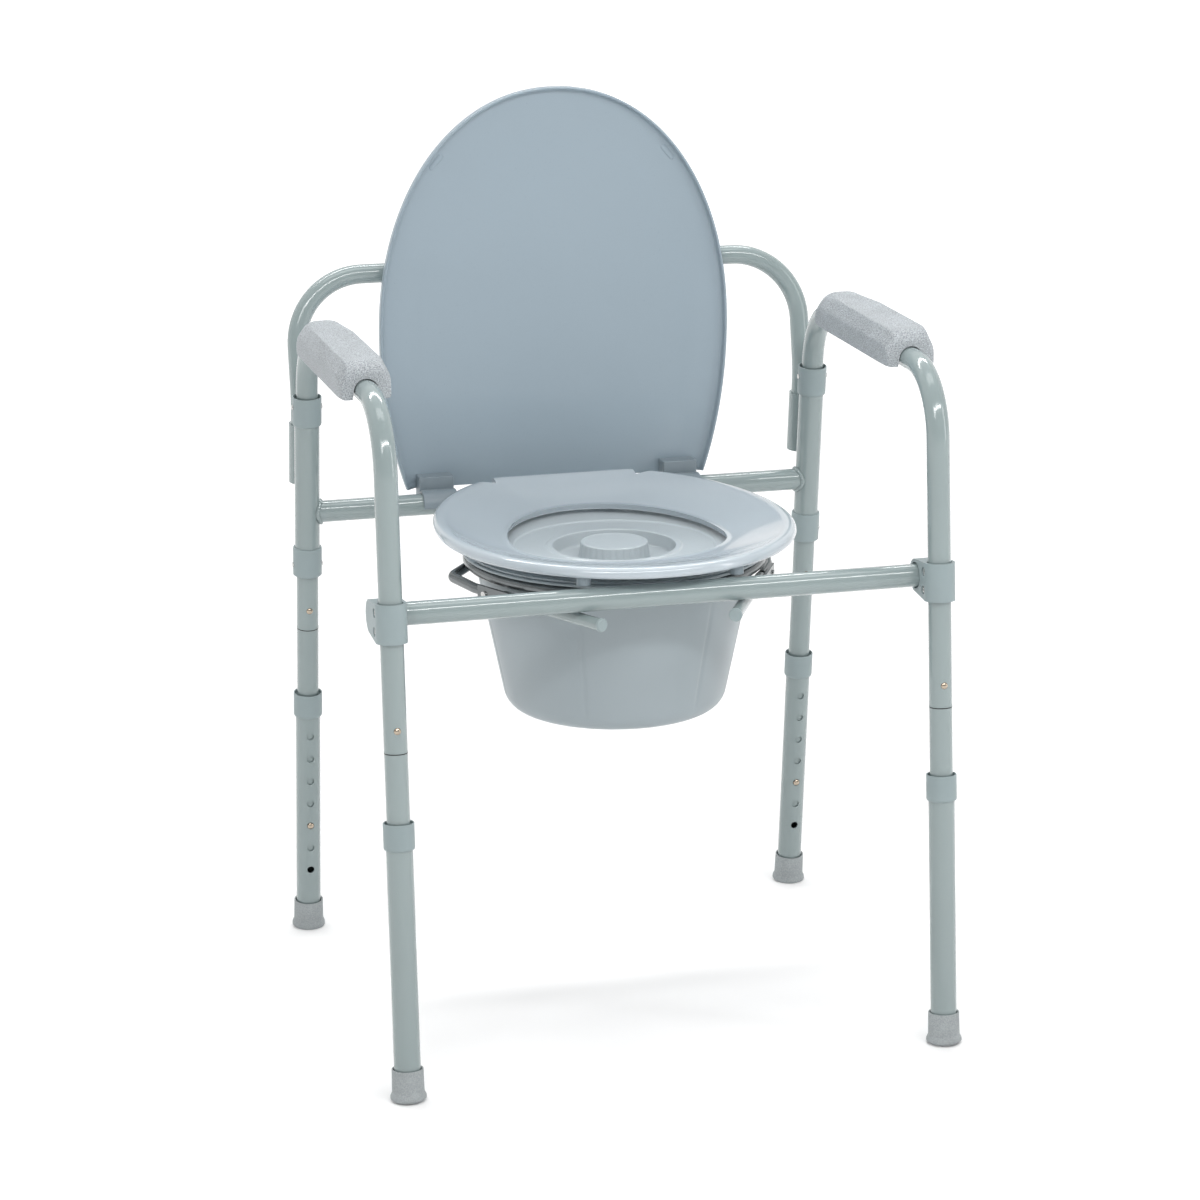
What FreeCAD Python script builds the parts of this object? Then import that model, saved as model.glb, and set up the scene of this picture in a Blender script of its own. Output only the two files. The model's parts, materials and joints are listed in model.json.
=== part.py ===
import FreeCAD, Part
import math
import os

os.makedirs("parts", exist_ok=True)

Vector = FreeCAD.Vector
X_AXIS = Vector(1, 0, 0)
Y_AXIS = Vector(0, 1, 0)
Z_AXIS = Vector(0, 0, 1)

# Frame: X to the sitter's right as seen from the front, Y to the rear, Z up.
# The origin is on the floor, midway between the four feet.

# How far cutting shapes run past the faces they cut
CUT_MARGIN = 10.0

# Tubes
TUBE_R = 11.1
TUBE_BORE_R = 9.9
OUTER_TUBE_R = 12.7
SLIDE_GAP = 0.1
EXTENSION_BORE_R = TUBE_R + SLIDE_GAP
SLEEVE_BORE_R = 11.6
BUSH_BORE_R = TUBE_R + 0.08
BACK_BAR_R = 9.9
BACK_BAR_BORE_R = 8.8
SOCKET_BORE_R = BACK_BAR_R + 0.09
ROD_R = 6.0
RING_ROD_R = 5.5

# Stance: the legs of one side lie in a plane at LEG_X and splay front and back
LEG_X = 267.0
FOOT_Y = 247.6
FRONT_SLOPE = 0.08258
REAR_SLOPE = -0.11362
ARM_Z = 654.0
ARM_BEND_R = 68.0

# Leg stations, as heights above the floor
FRONT_SEAM_Z = 334.0
REAR_SEAM_Z = 338.0
JOINT_BUTTON_RISE = 22.0
SPIGOT_RISE = 62.0
SPIGOT_OVERLAP = 20.0
SPIGOT_R = TUBE_BORE_R - 0.05
SPIGOT_BORE_R = 8.6
INNER_BORE_R = 9.7
INNER_LEG_END = 82.0
HOLE_PITCH = 25.4
BUTTON_STATION = 121.0
HOLES_BELOW = 2
HOLES_ABOVE = 4
EXTENSION_START = 4.6
EXTENSION_TOP = 265.0
COLLAR_R = 14.7
COLLAR_START = 243.0
COLLAR_TOP = 268.5
COLLAR_CHAMFER = 0.8

# Snap buttons
BUTTON_R = 3.3
BUTTON_HOLE_R = BUTTON_R + 0.1
EXTENSION_HOLE_R = 3.8
BUTTON_DOME = 1.5
BUTTON_FLANGE_R = 4.3
BUTTON_FLANGE_T = 1.1
BUTTON_FLANGE_GAP = 0.3

# Rubber feet
FOOT_H = 31.0
FOOT_TOP_R = 15.0
FOOT_SOLE_R = 17.4
FOOT_RIB_R = 15.6
FOOT_RIB_H = 3.0

# Rear frame
BAR_Z = 463.4
BAR_Y = FOOT_Y + REAR_SLOPE * BAR_Z
SLEEVE_LOW_Z = 401.0
SLEEVE_HIGH_Z = 583.0
BUSH_R = 14.7
BUSH_LENGTH = 30.0
BUSH_LIP = 4.0
BUSH_SKIRT_R = OUTER_TUBE_R + 0.02
BUSH_TOP_BORE_R = 12.4
RIVET_INSET = 7.0
RIVET_SHANK_R = 1.6
RIVET_HEAD_R = 2.6
RIVET_HEAD_H = 1.1
RIVET_SINK = 0.3
SOCKET_R = 12.0
SOCKET_OFFSET = 35.0
SOCKET_LOW_Z = 485.0
SOCKET_HIGH_Z = 547.0
WEB_T = 6.0
WEB_H = 14.0
WEB_STATIONS = (500.0, 532.0)

# Back bar
BACK_BAR_LOW_Z = 492.0
BACK_BAR_KNEE_Z = 572.0
BACK_BAR_TOP_Y = 241.5
BACK_BAR_TOP_Z = 697.0
BACK_BAR_KNEE_R = 90.0
BACK_BAR_CORNER_R = 70.0

# Front bar and its two leg brackets
FRONT_BAR_Z = 455.7
FRONT_BAR_Y = -182.9
FRONT_BAR_END_X = 277.0
BRACKET_R = 14.9
BRACKET_BORE_R = 12.1
BRACKET_HEIGHT = 37.0
HOUSING_R = 16.0
BAR_RECESS_R = 12.8
BAR_RECESS_DEPTH = 2.0
SCREW_R = 1.9
SCREW_HEAD_R = 3.6
SCREW_HEAD_H = 2.2
BRACKET_SCREW_SPREAD = 9.0
BRACKET_SCREW_Y = -205.0
BRACKET_SCREW_RECESS_R = 4.6
BRACKET_SCREW_DEPTH = 2.0
BRACKET_HEAD_R = 3.4
BRACKET_HEAD_H = 1.3
BRACKET_STUB = 1.0

# Armrest pads
PAD_FRONT_Y = -120.0
PAD_REAR_Y = 105.0
PAD_HALF_W = 26.0
PAD_LOW_Z = 646.0
PAD_TOP_Z = 683.0
PAD_SHOULDER_Z = 669.0
PAD_TOP_HALF_W = 17.0
PAD_SHOULDER_FALL = 0.4
PAD_SCREW_INSET = 48.0
PAD_SCREW_BITE = 7.0
PAD_FIT = 0.05
# Distance in from each end, narrowing of the half width, drop of the top
PAD_TAPER = ((0.0, 4.0, 12.0), (9.0, 0.0, 3.0), (20.0, 0.0, 0.0))

# Seat
SEAT_HALF_W = 176.0
SEAT_MID_Y = -16.0
SEAT_FRONT = 192.0
SEAT_REAR = 232.0
SEAT_REAR_EDGE_Y = 196.0
SEAT_RIM_LOW_Z = 477.0
SEAT_TOP_Z = 488.0
SEAT_EDGE_Z = 481.0
SEAT_SHOULDER_Z = 485.0
SEAT_UNDER_INSET = 3.0
SEAT_SHOULDER_INSET = 1.0
SEAT_CROWN_INSET = 6.0
SEAT_THROAT_INSET = 8.0
SEAT_DISH_INSET = 12.0
SEAT_WALL = 4.5
OPENING_HALF_W = 107.0
OPENING_MID_Y = -30.0
OPENING_FRONT = 86.0
OPENING_REAR = 146.0
OPENING_TOP_Z = 471.0
OPENING_LOW_Z = 466.0
NOTCH_INNER_X = 74.0
NOTCH_OUTER_X = 95.0
NOTCH_FRONT_Y = 174.0
TAB_LOW_Z = 476.0
TAB_FRONT_Y = 150.0
SEAT_CLIP_X = 50.0
SEAT_CLIP_W = 24.0
SEAT_CLIP_R = 13.8
SEAT_CLIP_FOOT_FRONT = 10.0
SEAT_CLIP_FOOT_REAR = 2.0
SEAT_CLIP_MOUTH = (-150, -30)
SEAT_BUMPERS = ((75.0, -176.0), (152.0, -60.0))
BUMPER_R = 7.0
BUMPER_LOW_Z = 469.2

# Lid, modelled open and upright
LID_HALF_W = 184.0
LID_MID_Z = 634.0
LID_UP = 249.0
LID_DOWN = 315.0
LID_POWER = 2.1
LID_CUT_Z = 474.6
LID_PANEL_D = 27.0
LID_BACK_D = 30.0
LID_LIP_D = 17.5
LID_LIP_T = 3.0
LID_EDGE_ROUND = 4.0
LID_STEPS = 24
LID_CLIP_X = 130.0
LID_CLIP_W = 36.0
LID_CLIP_R = 14.6
LID_CLIP_MOUTH = (-170, -60)
LID_ARM_D = 8.0
LID_ARM_LOW = 2.0
LID_ARM_HIGH = 26.0
LID_BUMPER_X = 121.0
LID_BUMPER_Z = 811.0
LID_BUMPER_L = 20.0
LID_BUMPER_W = 7.0
LID_BUMPER_T = 1.9
LID_BUMPER_TILT = 50

# Pail and its cover
PAIL_Y = -11.4
PAIL_BOTTOM_Z = 300.0
PAIL_BOTTOM_R = 106.9
PAIL_RIM_Z = 460.0
PAIL_RIM_R = 139.5
PAIL_WALL = 2.5
PAIL_CORNER_R = 22.0
PAIL_CORNER_STEPS = 6
FLANGE_R = 150.0
FLANGE_T = 3.0
COVER_R = 147.0
COVER_T = 2.0
RECESS_R = 61.0
RECESS_FLOOR_Z = 448.0
KNOB_TOP_R = 33.0
KNOB_BASE_R = 36.0
KNOB_TOP_Z = 465.5
KNOB_WALL = 3.0
KNOB_EDGE = 1.5
KNOB_FLUTES = 30
FLUTE_R = 1.4
FLUTE_OFFSET = 0.6
RECESS_TAPER = 2.0

# Pail holder
RING_R = 144.0
RING_Z = 450.9
HOOK_X = 85.0
HOOK_ROD_R = 5.3
HOOK_SWEEP = 120.0
HOLDER_ROD_Z = 436.4
HOLDER_ROD_TIP = (66.0, -204.0)
HOLDER_ROD_END = (128.4, -82.0)
CAP_R = 6.5
CAP_LENGTH = 3.0
CAP_CHAMFER = 1.0
PLATE_T = 3.0
PLATE_W = 16.0
PLATE_LENGTH = 52.0
PLATE_OVERLAP = 22.0
PLATE_RIVET_R = 3.2
PLATE_RIVET_H = 1.6
PLATE_RIVET_INSET = 10.0
LOOP_ROD_R = 5.0
LOOP_OVERLAP = 20.0
LOOP_STRAIGHT = 34.0
LOOP_SIDE = (161.0, 6.0)
LOOP_END = (141.0, 26.0)
LOOP_END_RISE = 3.0
LOOP_RADII = (30.0, 14.0)

SIDES = {"left": -1, "right": 1}


def axis_direction(slope):
    """Upward unit vector along a leg that leans by slope in the side plane."""
    return Vector(0, slope, 1).normalize()


def forward_normal(slope):
    """Unit vector that points out of the front of a leaning leg."""
    up = axis_direction(slope)
    return Vector(0, -up.z, up.y)


FRONT_UP = axis_direction(FRONT_SLOPE)
REAR_UP = axis_direction(REAR_SLOPE)


def leg_point(side, slope, z):
    """Point on a leg's axis at height z. The front leg is the one that leans back going up."""
    foot_y = -FOOT_Y if slope > 0 else FOOT_Y
    return Vector(side * LEG_X, foot_y + slope * z, z)


def cylinder(radius, start, direction, length):
    return Part.makeCylinder(radius, length, start, direction)


def tube(outer, bore, start, direction, length):
    return cylinder(outer, start, direction, length).cut(cylinder(bore, start, direction, length))


def tube_on_leg(outer, bore, side, slope, low_z, high_z):
    """Hollow cylinder coaxial with a leg, between two heights."""
    low = leg_point(side, slope, low_z)
    high = leg_point(side, slope, high_z)
    return tube(outer, bore, low, high - low, (high - low).Length)


def bent_path(points, radii):
    """Wire of straight runs with a tangent arc of the given radius at each inner point."""
    edges = []
    start = points[0]
    for index, radius in enumerate(radii):
        corner = points[index + 1]
        into = (corner - points[index]).normalize()
        out = (points[index + 2] - corner).normalize()
        turn = into.getAngle(out)
        setback = radius * math.tan(turn / 2)
        arc_start = corner - into * setback
        arc_end = corner + out * setback
        inward = (out - into).normalize()
        arc_mid = corner + inward * (radius / math.cos(turn / 2) - radius)
        edges.append(Part.LineSegment(start, arc_start).toShape())
        edges.append(Part.Arc(arc_start, arc_mid, arc_end).toShape())
        start = arc_end
    edges.append(Part.LineSegment(start, points[-1]).toShape())
    return Part.Wire(edges)


def sweep(path, radius):
    """Solid round bar along a wire."""
    start = path.Edges[0].Vertexes[0].Point
    tangent = path.Edges[0].tangentAt(path.Edges[0].FirstParameter)
    ring = Part.Wire([Part.Circle(start, tangent, radius).toShape()])
    return path.makePipeShell([ring], True, True)


def swept_tube(path, radius, bore):
    return sweep(path, radius).cut(sweep(path, bore))


def egg_wire(half_w, front, rear, mid_y, z):
    """Horizontal oval of two half ellipses that meet at the widest point."""
    halves = []
    centre = Vector(0, mid_y, z)
    for reach, sign in ((front, -1), (rear, 1)):
        ends = [Vector(0, mid_y + reach, z), Vector(half_w, mid_y, z)]
        if reach < half_w:
            ends.reverse()
        ellipse = Part.Ellipse(ends[0], ends[1], centre)
        edge = ellipse.toShape()
        keep = Part.makeBox(3 * half_w, 2 * reach, 2.0, Vector(-1.5 * half_w, mid_y, z - 1))
        if sign < 0:
            keep.translate(Vector(0, -2 * reach, 0))
        halves.extend(edge.common(keep).Edges)
    return Part.Wire(Part.__sortEdges__(halves))


def loft(wires, ruled=False):
    return Part.makeLoft(wires, True, ruled)


def block(low, high):
    """Box between two opposite corners."""
    size = high - low
    return Part.makeBox(size.x, size.y, size.z, low)


def revolve(profile, centre):
    """Solid of revolution about the vertical line through centre; profile is (radius, z) points."""
    points = [Vector(centre.x + radius, centre.y, z) for radius, z in profile]
    face = Part.Face(Part.makePolygon(points + points[:1]))
    return face.revolve(centre, Z_AXIS, 360)


def group(shapes):
    """Several separate solids that share one node."""
    return Part.makeCompound(shapes)


def save(name, shape):
    shape.exportStep("parts/" + name + ".step")


# ---- Side frames -------------------------------------------------------------

def arm_corner(slope, side):
    """Point where a leg's axis meets the level line of the armrest tube."""
    return leg_point(side, slope, ARM_Z)


def side_path(side):
    points = [
        leg_point(side, FRONT_SLOPE, FRONT_SEAM_Z),
        arm_corner(FRONT_SLOPE, side),
        arm_corner(REAR_SLOPE, side),
        leg_point(side, REAR_SLOPE, REAR_SEAM_Z),
    ]
    return bent_path(points, [ARM_BEND_R, ARM_BEND_R])


def pad_screw_stations():
    return (PAD_FRONT_Y + PAD_SCREW_INSET, PAD_REAR_Y - PAD_SCREW_INSET)


def pad_screw(side, y):
    """Screw driven up through the armrest tube into the pad."""
    underside = Vector(side * LEG_X, y, ARM_Z - TUBE_R)
    head = cylinder(SCREW_HEAD_R, underside - Z_AXIS * SCREW_HEAD_H, Z_AXIS, SCREW_HEAD_H)
    shank_length = SCREW_HEAD_H / 2 + 2 * TUBE_R + PAD_SCREW_BITE
    shank = cylinder(SCREW_R, underside - Z_AXIS * (SCREW_HEAD_H / 2), Z_AXIS, shank_length)
    return head.fuse(shank)


def joint_button_station(side, slope):
    seam = FRONT_SEAM_Z if slope > 0 else REAR_SEAM_Z
    return leg_point(side, slope, seam + JOINT_BUTTON_RISE)


def make_side_tube(side):
    """Front leg, armrest and rear post bent from one tube."""
    shape = swept_tube(side_path(side), TUBE_R, TUBE_BORE_R)
    for slope in (FRONT_SLOPE, REAR_SLOPE):
        station = joint_button_station(side, slope)
        shape = shape.cut(cylinder(BUTTON_HOLE_R, station, forward_normal(slope), 2 * TUBE_R))
    for y in pad_screw_stations():
        start = Vector(side * LEG_X, y, ARM_Z - 2 * TUBE_R)
        shape = shape.cut(cylinder(SCREW_R + SLIDE_GAP, start, Z_AXIS, 4 * TUBE_R))
    return shape


def pad_section(side, y, half_w, top_z):
    """Six-sided cross-section of the pad: flat underside, upright sides, bevelled shoulders."""
    shoulder = PAD_SHOULDER_Z - (PAD_TOP_Z - top_z) * PAD_SHOULDER_FALL
    top_half_w = PAD_TOP_HALF_W - (PAD_HALF_W - half_w)
    outline = [
        (-half_w, PAD_LOW_Z),
        (half_w, PAD_LOW_Z),
        (half_w, shoulder),
        (top_half_w, top_z),
        (-top_half_w, top_z),
        (-half_w, shoulder),
    ]
    points = [Vector(side * LEG_X + x, y, z) for x, z in outline]
    return Part.makePolygon(points + points[:1])


def make_pad(side):
    """Armrest moulding over the tube, tapered at both ends."""
    stations = [(PAD_FRONT_Y + inset, narrowing, fall) for inset, narrowing, fall in PAD_TAPER]
    stations += [(PAD_REAR_Y - inset, narrowing, fall) for inset, narrowing, fall in reversed(PAD_TAPER)]
    sections = []
    for y, narrowing, fall in stations:
        sections.append(pad_section(side, y, PAD_HALF_W - narrowing, PAD_TOP_Z - fall))
    shape = loft(sections, True)
    channel_start = Vector(side * LEG_X, PAD_FRONT_Y - CUT_MARGIN, ARM_Z)
    channel_length = PAD_REAR_Y - PAD_FRONT_Y + 2 * CUT_MARGIN
    shape = shape.cut(cylinder(TUBE_R + PAD_FIT, channel_start, Y_AXIS, channel_length))
    for y in pad_screw_stations():
        hole_start = Vector(side * LEG_X, y, ARM_Z)
        shape = shape.cut(cylinder(SCREW_R, hole_start, Z_AXIS, TUBE_R + PAD_SCREW_BITE))
    return shape


def make_inner_leg(side, slope):
    """Lower leg tube with a spigot on top that plugs into the side tube."""
    seam_z = FRONT_SEAM_Z if slope > 0 else REAR_SEAM_Z
    leg = tube_on_leg(TUBE_R, INNER_BORE_R, side, slope, INNER_LEG_END, seam_z)
    spigot = tube_on_leg(SPIGOT_R, SPIGOT_BORE_R, side, slope, seam_z - SPIGOT_OVERLAP, seam_z + SPIGOT_RISE)
    shape = leg.fuse(spigot)
    holes = [
        (joint_button_station(side, slope), forward_normal(slope)),
        (button_centre(side, slope), height_button_normal(slope)),
    ]
    for station, normal in holes:
        shape = shape.cut(cylinder(BUTTON_HOLE_R, station, normal, 2 * TUBE_R))
    return shape


# ---- Snap buttons ------------------------------------------------------------

def button_centre(side, slope):
    """Point on the leg's axis level with its height button."""
    foot = leg_point(side, slope, 0)
    return foot + axis_direction(slope) * BUTTON_STATION


def height_button_normal(slope):
    """The height buttons of the front and rear legs face each other."""
    normal = forward_normal(slope)
    return normal * -1 if slope > 0 else normal


def make_button(centre, normal, surface_r, flange_outer_r):
    """Domed pin with an inner flange; surface_r is the radius of the tube it stands out of."""
    flange_start = centre + normal * (flange_outer_r - BUTTON_FLANGE_T)
    flange = cylinder(BUTTON_FLANGE_R, flange_start, normal, BUTTON_FLANGE_T)
    stem = cylinder(BUTTON_R, flange_start, normal, surface_r - flange_outer_r + BUTTON_FLANGE_T)
    dome_r = (BUTTON_R ** 2 + BUTTON_DOME ** 2) / (2 * BUTTON_DOME)
    dome_centre = centre + normal * (surface_r + BUTTON_DOME - dome_r)
    dome = Part.makeSphere(dome_r, dome_centre)
    dome = dome.common(cylinder(BUTTON_R, centre + normal * surface_r, normal, 2 * BUTTON_DOME))
    return flange.fuse(stem).fuse(dome)


def make_height_button(side, slope):
    flange_r = math.sqrt(INNER_BORE_R ** 2 - BUTTON_FLANGE_R ** 2) - BUTTON_FLANGE_GAP
    return make_button(button_centre(side, slope), height_button_normal(slope), OUTER_TUBE_R, flange_r)


def make_joint_button(side, slope):
    flange_r = math.sqrt(SPIGOT_BORE_R ** 2 - BUTTON_FLANGE_R ** 2) - BUTTON_FLANGE_GAP
    return make_button(joint_button_station(side, slope), forward_normal(slope), TUBE_R, flange_r)


# ---- Leg extensions ----------------------------------------------------------

def make_extension(side, slope):
    """Outer leg tube with a row of adjustment holes."""
    up = axis_direction(slope)
    foot = leg_point(side, slope, 0)
    length = EXTENSION_TOP - EXTENSION_START
    shape = tube(OUTER_TUBE_R, EXTENSION_BORE_R, foot + up * EXTENSION_START, up, length)
    for index in range(-HOLES_BELOW, HOLES_ABOVE + 1):
        station = button_centre(side, slope) + up * (index * HOLE_PITCH)
        hole = cylinder(EXTENSION_HOLE_R, station, height_button_normal(slope), 2 * OUTER_TUBE_R)
        shape = shape.cut(hole)
    return shape


def make_collar(side, slope):
    """Plastic collar that caps the extension's top and guides the inner leg."""
    up = axis_direction(slope)
    foot = leg_point(side, slope, 0)
    body = cylinder(COLLAR_R, foot + up * COLLAR_START, up, COLLAR_TOP - COLLAR_START)
    bore = cylinder(EXTENSION_BORE_R, foot + up * COLLAR_START, up, COLLAR_TOP - COLLAR_START)
    skirt = cylinder(OUTER_TUBE_R, foot + up * COLLAR_START, up, EXTENSION_TOP - COLLAR_START)
    top_edge = body.Edges[0]
    return body.makeChamfer(COLLAR_CHAMFER, [top_edge]).cut(bore).cut(skirt)


def make_foot(side, slope):
    """Rubber ferrule with a flat sole on the floor and a thicker rim at its top."""
    up = axis_direction(slope)
    foot = leg_point(side, slope, 0)
    cone_start = foot - up * FOOT_RIB_H
    body = Part.makeCone(FOOT_SOLE_R, FOOT_TOP_R, FOOT_H + FOOT_RIB_H, cone_start, up)
    rib = cylinder(FOOT_RIB_R, foot + up * (FOOT_H - FOOT_RIB_H), up, FOOT_RIB_H)
    socket = cylinder(OUTER_TUBE_R, foot + up * EXTENSION_START, up, FOOT_H)
    reach = 2 * FOOT_SOLE_R
    above_floor = block(foot - Vector(reach, reach, 0), foot + Vector(reach, reach, 2 * FOOT_H))
    return body.fuse(rib).cut(socket).common(above_floor)


# ---- Rear frame --------------------------------------------------------------

def make_sleeve(side):
    return tube_on_leg(OUTER_TUBE_R, SLEEVE_BORE_R, side, REAR_SLOPE, SLEEVE_LOW_Z, SLEEVE_HIGH_Z)


def make_rear_crossbar():
    """Tube between the sleeves, coped to sit on their outer surface."""
    bar = tube(TUBE_R, TUBE_BORE_R, Vector(-LEG_X, BAR_Y, BAR_Z), X_AXIS, 2 * LEG_X)
    for side in SIDES.values():
        low = leg_point(side, REAR_SLOPE, SLEEVE_LOW_Z)
        high = leg_point(side, REAR_SLOPE, SLEEVE_HIGH_Z)
        bar = bar.cut(cylinder(OUTER_TUBE_R, low, high - low, (high - low).Length))
    return max(bar.Solids, key=lambda solid: solid.Volume)


def socket_shift():
    """From a sleeve's axis to the axis of the back-bar socket welded behind it."""
    return forward_normal(REAR_SLOPE) * -SOCKET_OFFSET


def make_back_socket(side):
    """Short tube behind the sleeve, held to it by two welded webs."""
    shape = tube_on_leg(SOCKET_R, SOCKET_BORE_R, side, REAR_SLOPE, SOCKET_LOW_Z, SOCKET_HIGH_Z)
    shape.translate(socket_shift())
    low = leg_point(side, REAR_SLOPE, SLEEVE_LOW_Z)
    sleeve = cylinder(OUTER_TUBE_R, low, REAR_UP, SLEEVE_HIGH_Z - SLEEVE_LOW_Z)
    bore = cylinder(SOCKET_BORE_R, low + socket_shift(), REAR_UP, SLEEVE_HIGH_Z - SLEEVE_LOW_Z)
    across = X_AXIS * WEB_T
    for z in WEB_STATIONS:
        corner = leg_point(side, REAR_SLOPE, z) - across * 0.5
        points = [corner, corner + socket_shift(), corner + socket_shift() + REAR_UP * WEB_H,
                  corner + REAR_UP * WEB_H]
        web = Part.Face(Part.makePolygon(points + points[:1])).extrude(across)
        shape = shape.fuse(web.cut(sleeve).cut(bore))
    return shape


def make_bushing(side, upper):
    """Plastic bush over a sleeve's end: a lip bears on the post and a skirt grips the sleeve."""
    if upper:
        mouth_z = SLEEVE_HIGH_Z + BUSH_LIP
        tip = leg_point(side, REAR_SLOPE, mouth_z)
        direction = REAR_UP * -1
    else:
        mouth_z = SLEEVE_LOW_Z - BUSH_LIP
        tip = leg_point(side, REAR_SLOPE, mouth_z)
        direction = REAR_UP
    body = cylinder(BUSH_R, tip, direction, BUSH_LENGTH)
    bore = cylinder(BUSH_BORE_R, tip, direction, BUSH_LENGTH)
    lead_in = cylinder(BUSH_TOP_BORE_R, tip, direction, BUSH_LIP / 2)
    sleeve_end = leg_point(side, REAR_SLOPE, SLEEVE_HIGH_Z if upper else SLEEVE_LOW_Z)
    skirt = cylinder(BUSH_SKIRT_R, sleeve_end, direction, BUSH_LENGTH)
    shape = body.cut(bore).cut(lead_in).cut(skirt)
    for rivet in bushing_rivet_pair(side, upper):
        shape = shape.cut(rivet)
    return shape


def bushing_rivet_pair(side, upper):
    """Round-headed rivets through the bush's two sides, into the sleeve wall."""
    rivet_z = SLEEVE_HIGH_Z - RIVET_INSET if upper else SLEEVE_LOW_Z + RIVET_INSET
    centre = leg_point(side, REAR_SLOPE, rivet_z)
    rivets = []
    for sign in (-1, 1):
        outward = X_AXIS * sign
        shank_start = centre + outward * BUSH_SKIRT_R
        shank = cylinder(RIVET_SHANK_R, shank_start, outward, BUSH_R - BUSH_SKIRT_R + RIVET_SINK)
        head = cylinder(RIVET_HEAD_R, centre + outward * (BUSH_R - RIVET_SINK), outward, RIVET_HEAD_H)
        rivets.append(shank.fuse(head))
    return rivets


def make_bushing_rivets():
    rivets = []
    for side in SIDES.values():
        for upper in (False, True):
            rivets.extend(bushing_rivet_pair(side, upper))
    return group(rivets)


# ---- Back bar ----------------------------------------------------------------

def back_bar_path():
    """Inverted U: two legs rise along the sockets, then lean back up to the top rail."""
    points = []
    for side in (-1, 1):
        low = leg_point(side, REAR_SLOPE, BACK_BAR_LOW_Z) + socket_shift()
        knee = leg_point(side, REAR_SLOPE, BACK_BAR_KNEE_Z) + socket_shift()
        top = Vector(side * LEG_X, BACK_BAR_TOP_Y, BACK_BAR_TOP_Z)
        leg = [low, knee, top]
        points.extend(leg if side < 0 else reversed(leg))
    radii = [BACK_BAR_KNEE_R, BACK_BAR_CORNER_R, BACK_BAR_CORNER_R, BACK_BAR_KNEE_R]
    return bent_path(points, radii)


def make_back_bar():
    return swept_tube(back_bar_path(), BACK_BAR_R, BACK_BAR_BORE_R)


# ---- Front bar ---------------------------------------------------------------

def make_front_crossbar():
    start = Vector(-FRONT_BAR_END_X, FRONT_BAR_Y, FRONT_BAR_Z)
    return tube(TUBE_R, TUBE_BORE_R, start, X_AXIS, 2 * FRONT_BAR_END_X)


def bracket_screw_mouths(side):
    """Points on the bracket's two flat faces where screws sit, each with the direction into the face."""
    mouths = []
    for face in (-1, 1):
        x = side * LEG_X + face * BRACKET_R
        for level in (-1, 1):
            z = FRONT_BAR_Z + level * BRACKET_SCREW_SPREAD
            mouths.append((Vector(x, BRACKET_SCREW_Y, z), X_AXIS * -face))
    return mouths


def make_bracket_screws():
    """Short screws with round heads at the bottom of recesses in the brackets' faces."""
    screws = []
    for side in SIDES.values():
        for mouth, inward in bracket_screw_mouths(side):
            seat = mouth + inward * BRACKET_SCREW_DEPTH
            head = cylinder(BRACKET_HEAD_R, seat - inward * BRACKET_HEAD_H, inward, BRACKET_HEAD_H)
            screws.append(head.fuse(cylinder(SCREW_R, seat, inward, BRACKET_STUB)))
    return group(screws)


def make_leg_bracket(side):
    """Plastic clamp around the front leg, running back to a round housing for the front bar's end."""
    pivot = leg_point(side, FRONT_SLOPE, FRONT_BAR_Z)
    half = FRONT_UP * (BRACKET_HEIGHT / 2)
    barrel = cylinder(BRACKET_R, pivot - half, FRONT_UP, BRACKET_HEIGHT)
    to_face = X_AXIS * -BRACKET_R
    bar_axis = Vector(side * LEG_X, FRONT_BAR_Y, FRONT_BAR_Z) + to_face
    housing = cylinder(HOUSING_R, bar_axis, X_AXIS, 2 * BRACKET_R)
    rise = Z_AXIS * HOUSING_R
    outline = [pivot - half + to_face, bar_axis - rise, bar_axis + rise, pivot + half + to_face]
    web = Part.Face(Part.makePolygon(outline + outline[:1])).extrude(to_face * -2)
    shape = barrel.fuse(housing).fuse(web)
    bore_start = pivot - half - FRONT_UP * CUT_MARGIN
    shape = shape.cut(cylinder(BRACKET_BORE_R, bore_start, FRONT_UP, BRACKET_HEIGHT + 2 * CUT_MARGIN))
    inward = X_AXIS * -side
    bar_end = Vector(side * FRONT_BAR_END_X, FRONT_BAR_Y, FRONT_BAR_Z)
    recess_end = Vector(side * (LEG_X - BRACKET_R + BAR_RECESS_DEPTH), FRONT_BAR_Y, FRONT_BAR_Z)
    shape = shape.cut(cylinder(TUBE_R, bar_end, inward, 2 * BRACKET_R + CUT_MARGIN))
    shape = shape.cut(cylinder(BAR_RECESS_R, recess_end, inward, CUT_MARGIN))
    for mouth, into in bracket_screw_mouths(side):
        shape = shape.cut(cylinder(BRACKET_SCREW_RECESS_R, mouth, into, BRACKET_SCREW_DEPTH))
        stub = cylinder(SCREW_R, mouth, into, BRACKET_SCREW_DEPTH + BRACKET_STUB)
        shape = shape.cut(stub)
    return shape


# ---- Seat --------------------------------------------------------------------

def seat_wire(inset, z):
    return egg_wire(SEAT_HALF_W - inset, SEAT_FRONT - inset, SEAT_REAR - inset, SEAT_MID_Y, z)


def opening_wire(inset, z):
    return egg_wire(OPENING_HALF_W - inset, OPENING_FRONT - inset, OPENING_REAR - inset, OPENING_MID_Y, z)


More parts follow.
